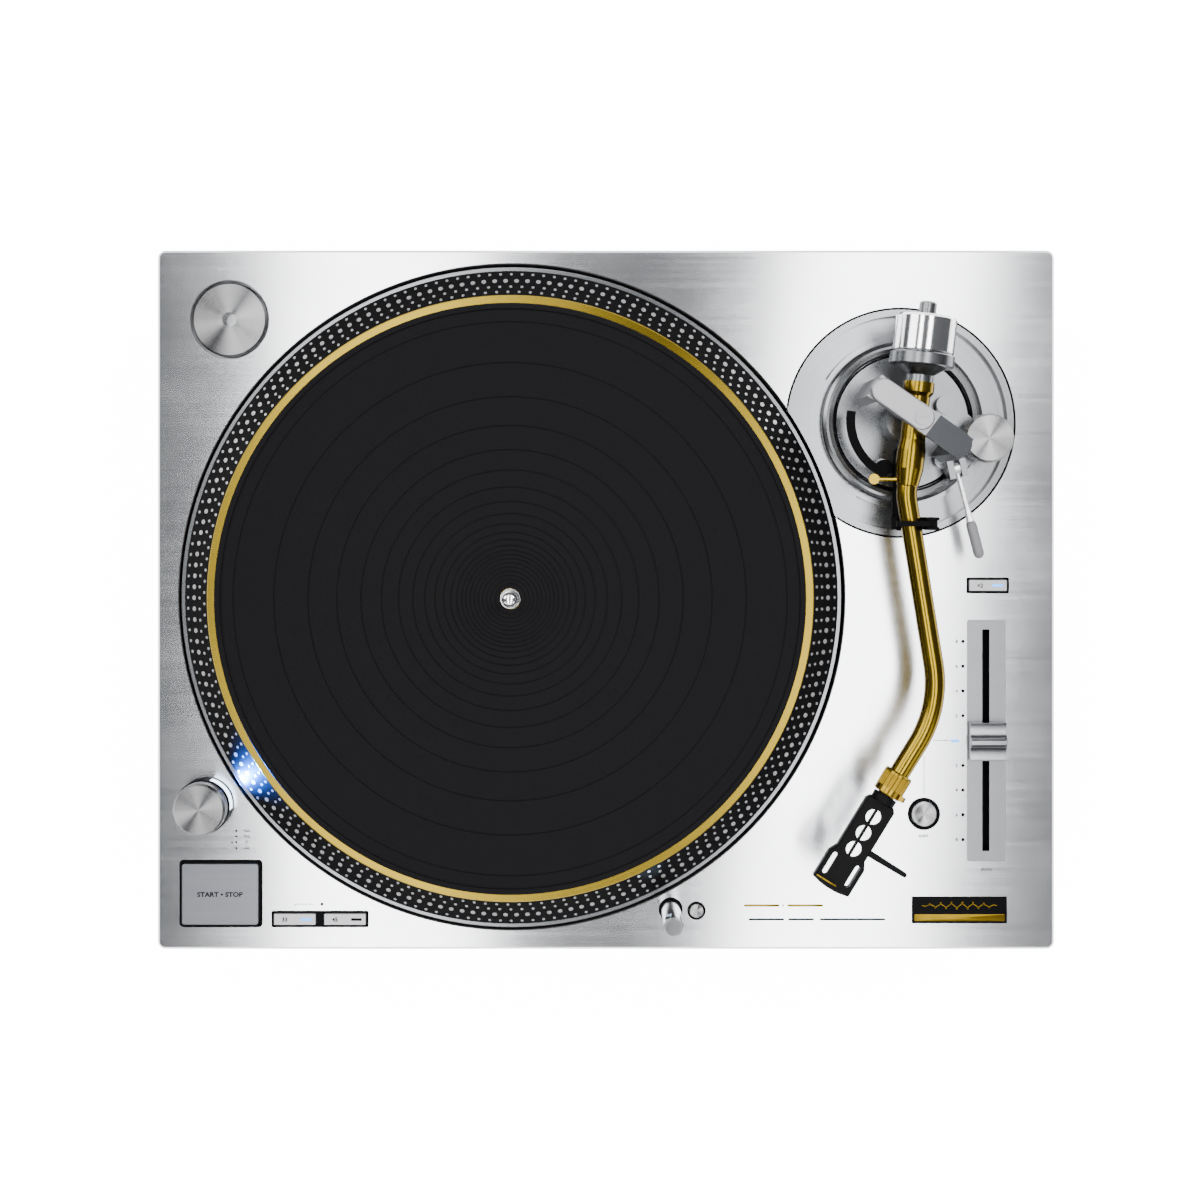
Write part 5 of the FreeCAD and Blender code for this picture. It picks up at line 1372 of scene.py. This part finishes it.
@dataclass
class ArmBase:
    """The arm's base: troughed disc, height ring, platform, yoke, anti-skate knob, cue lever and rest."""

    # yoke_turn is the yoke's direction; yoke_step is where its painted light gives way to painted shade.
    yoke_turn: float = math.radians(-37.0)
    yoke_step: float = 6.5
    # seam_radius, seam_size, platform_edge and platform_line size the black rings of painted gap shade.
    seam_radius: float = 57.7
    seam_size: float = 0.5
    platform_edge: float = 34.0
    platform_line: float = 0.9
    platform_top: float = 5.0
    line_rise: float = 0.3
    grip_length: float = 19.5

    def build(self) -> None:
        """Dress the arm's base."""
        # The base's sweep paints highlight and shade into its colour: bright and dark sectors by angle round
        # the pivot.
        base = Finish("arm_base_metal", (0.27, 0.275, 0.285), (0.13, 0.135, 0.14), 1.0, 0.14, 0.28,
                      Texture.SPUN, tuple(PIVOT), 2400.0, bump=0.12, sweep=0.3)
        dress(base, "arm_base", "height_ring")
        dress(ARM_SATIN, "arm_platform", "antiskate_base")
        # Painted light and shade on the yoke: past yoke_step along its direction it takes the painted shade
        # copy, before it the painted lit copy.
        slope = (math.cos(self.yoke_turn), math.sin(self.yoke_turn), 0.0)
        lit_and_shaded_halves = TwoTone("yoke_painted_lit_and_shaded", YOKE_PAINTED_LIT, YOKE_PAINTED_SHADE, place_of(PIVOT), self.yoke_step * MM, slope)
        paint(lit_and_shaded_halves.material(), "arm_yoke")
        dress(spun_metal("antiskate_spun", middle("antiskate_knob")), "antiskate_knob")
        dress(BLACK_TRIM_AND_PAINTED_SHADE, "arm_rest", "arm_clamp", "cue_lifter", "weight_bush")
        self.lever()
        self.seams()
        LOG.info("arm base dressed")

    def lever(self) -> None:
        """The cue lever: a white stem, and a grey grip beyond a distance from its pivot."""
        pivot = np.array(joint("cue_lever_tip")["pos_m"])
        low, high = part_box("cue_lever")
        line = np.array([high[0], low[1], high[2]]) - pivot
        length = float(np.linalg.norm(line))
        white = Finish("lever_white", (0.88, 0.88, 0.89), (0.80, 0.80, 0.81), 0.7, 0.2, 0.3, bump=0.05)
        grip = Finish("lever_grip", (0.17, 0.17, 0.18), (0.12, 0.12, 0.125), 0.1, 0.4, 0.55, bump=0.3)
        limit = length - self.grip_length * MM
        parted = TwoTone("cue_lever_two_tone", white, grip, tuple(pivot), limit, place_of(line / length))
        paint(parted.material(), "cue_lever")

    def seams(self) -> None:
        """Painted shade: dark lines standing in for the shade in the gaps round the base, open where the
        platter's well cuts it, and round the platform's edge.
        """
        across = (PLATTER_AXIS - PIVOT)[:2]
        far = float(np.linalg.norm(across)) / MM
        well = Case.well_edge + self.seam_size
        cut = math.acos((far**2 + self.seam_radius**2 - well**2) / (2 * far * self.seam_radius))
        start = math.atan2(across[1], across[0]) + cut
        turn = np.linspace(start, start + 2 * (math.pi - cut), 241)
        path = np.stack([np.cos(turn), np.sin(turn), np.zeros_like(turn)], -1) * self.seam_radius * MM
        path += (PIVOT[0], PIVOT[1], DECK_Z)
        gap_shade_ring = sweep(path, np.full(len(path), self.seam_size * MM), 10)
        place_mesh("base_painted_gap_shade", *gap_shade_ring, BLACK_TRIM_AND_PAINTED_SHADE, "case", "black_trim")
        level = np.array([PIVOT[0], PIVOT[1], DECK_Z + self.platform_top * MM])
        outer, inner = self.platform_edge, self.platform_edge - self.platform_line
        line = lathe([(inner, 0), (inner, self.line_rise), (outer, self.line_rise), (outer, 0)], level)
        place_mesh("platform_painted_gap_shade", *line, BLACK_TRIM_AND_PAINTED_SHADE, "arm_platform", "black_trim", smooth=False)


@dataclass
class Tonearm:
    """The gold S-shaped arm with its counterweight, dial, collar and headshell."""

    line_size: tuple[float, float] = (11.0, 0.7)
    line_corner: float = 0.25
    line_shift: float = -4.2
    line_inset: float = 3.2
    shell_end: float = 102.5
    collar_run: float = 43.0

    def build(self) -> None:
        """Dress the arm and mark the headshell."""
        dress(ARM_GOLD, "arm_tube", "arm_barrel")
        dress(COLLAR_GOLD, "locking_collar")
        dress(ARM_SATIN, "gimbal_ring", "rear_shaft", "force_dial")
        dress(CHROME, "counterweight")
        dress(SHELL_BLACK, "headshell", "finger_lift")
        self.shell_line()
        LOG.info("tonearm dressed")

    def shell_line(self) -> None:
        """A short gold line near the headshell's front edge."""
        bend = np.array(joint("collar_turn")["pos_m"]) - HEAD_AXIS * self.collar_run * MM
        front = bend + HEAD_AXIS * (self.shell_end - self.line_inset) * MM + HEAD_SIDE * self.line_shift * MM
        front[2] = top_of("headshell")
        turn = math.atan2(HEAD_SIDE[1], HEAD_SIDE[0])
        bar = rounded_bar(front, (*self.line_size, PRINT_RISE), self.line_corner, turn)
        place_mesh("shell_line", *bar, PRINT_GOLD, "headshell", "gold")


def main() -> None:
    """Build the studio and dress every sub-assembly in order."""
    parts = (Studio(), Case(), Platter(), Strobe(), Controls(), PitchFader(), Marks(), ArmBase(), Tonearm())
    for part in parts:
        part.build()


if __name__ == "__main__":
    main()
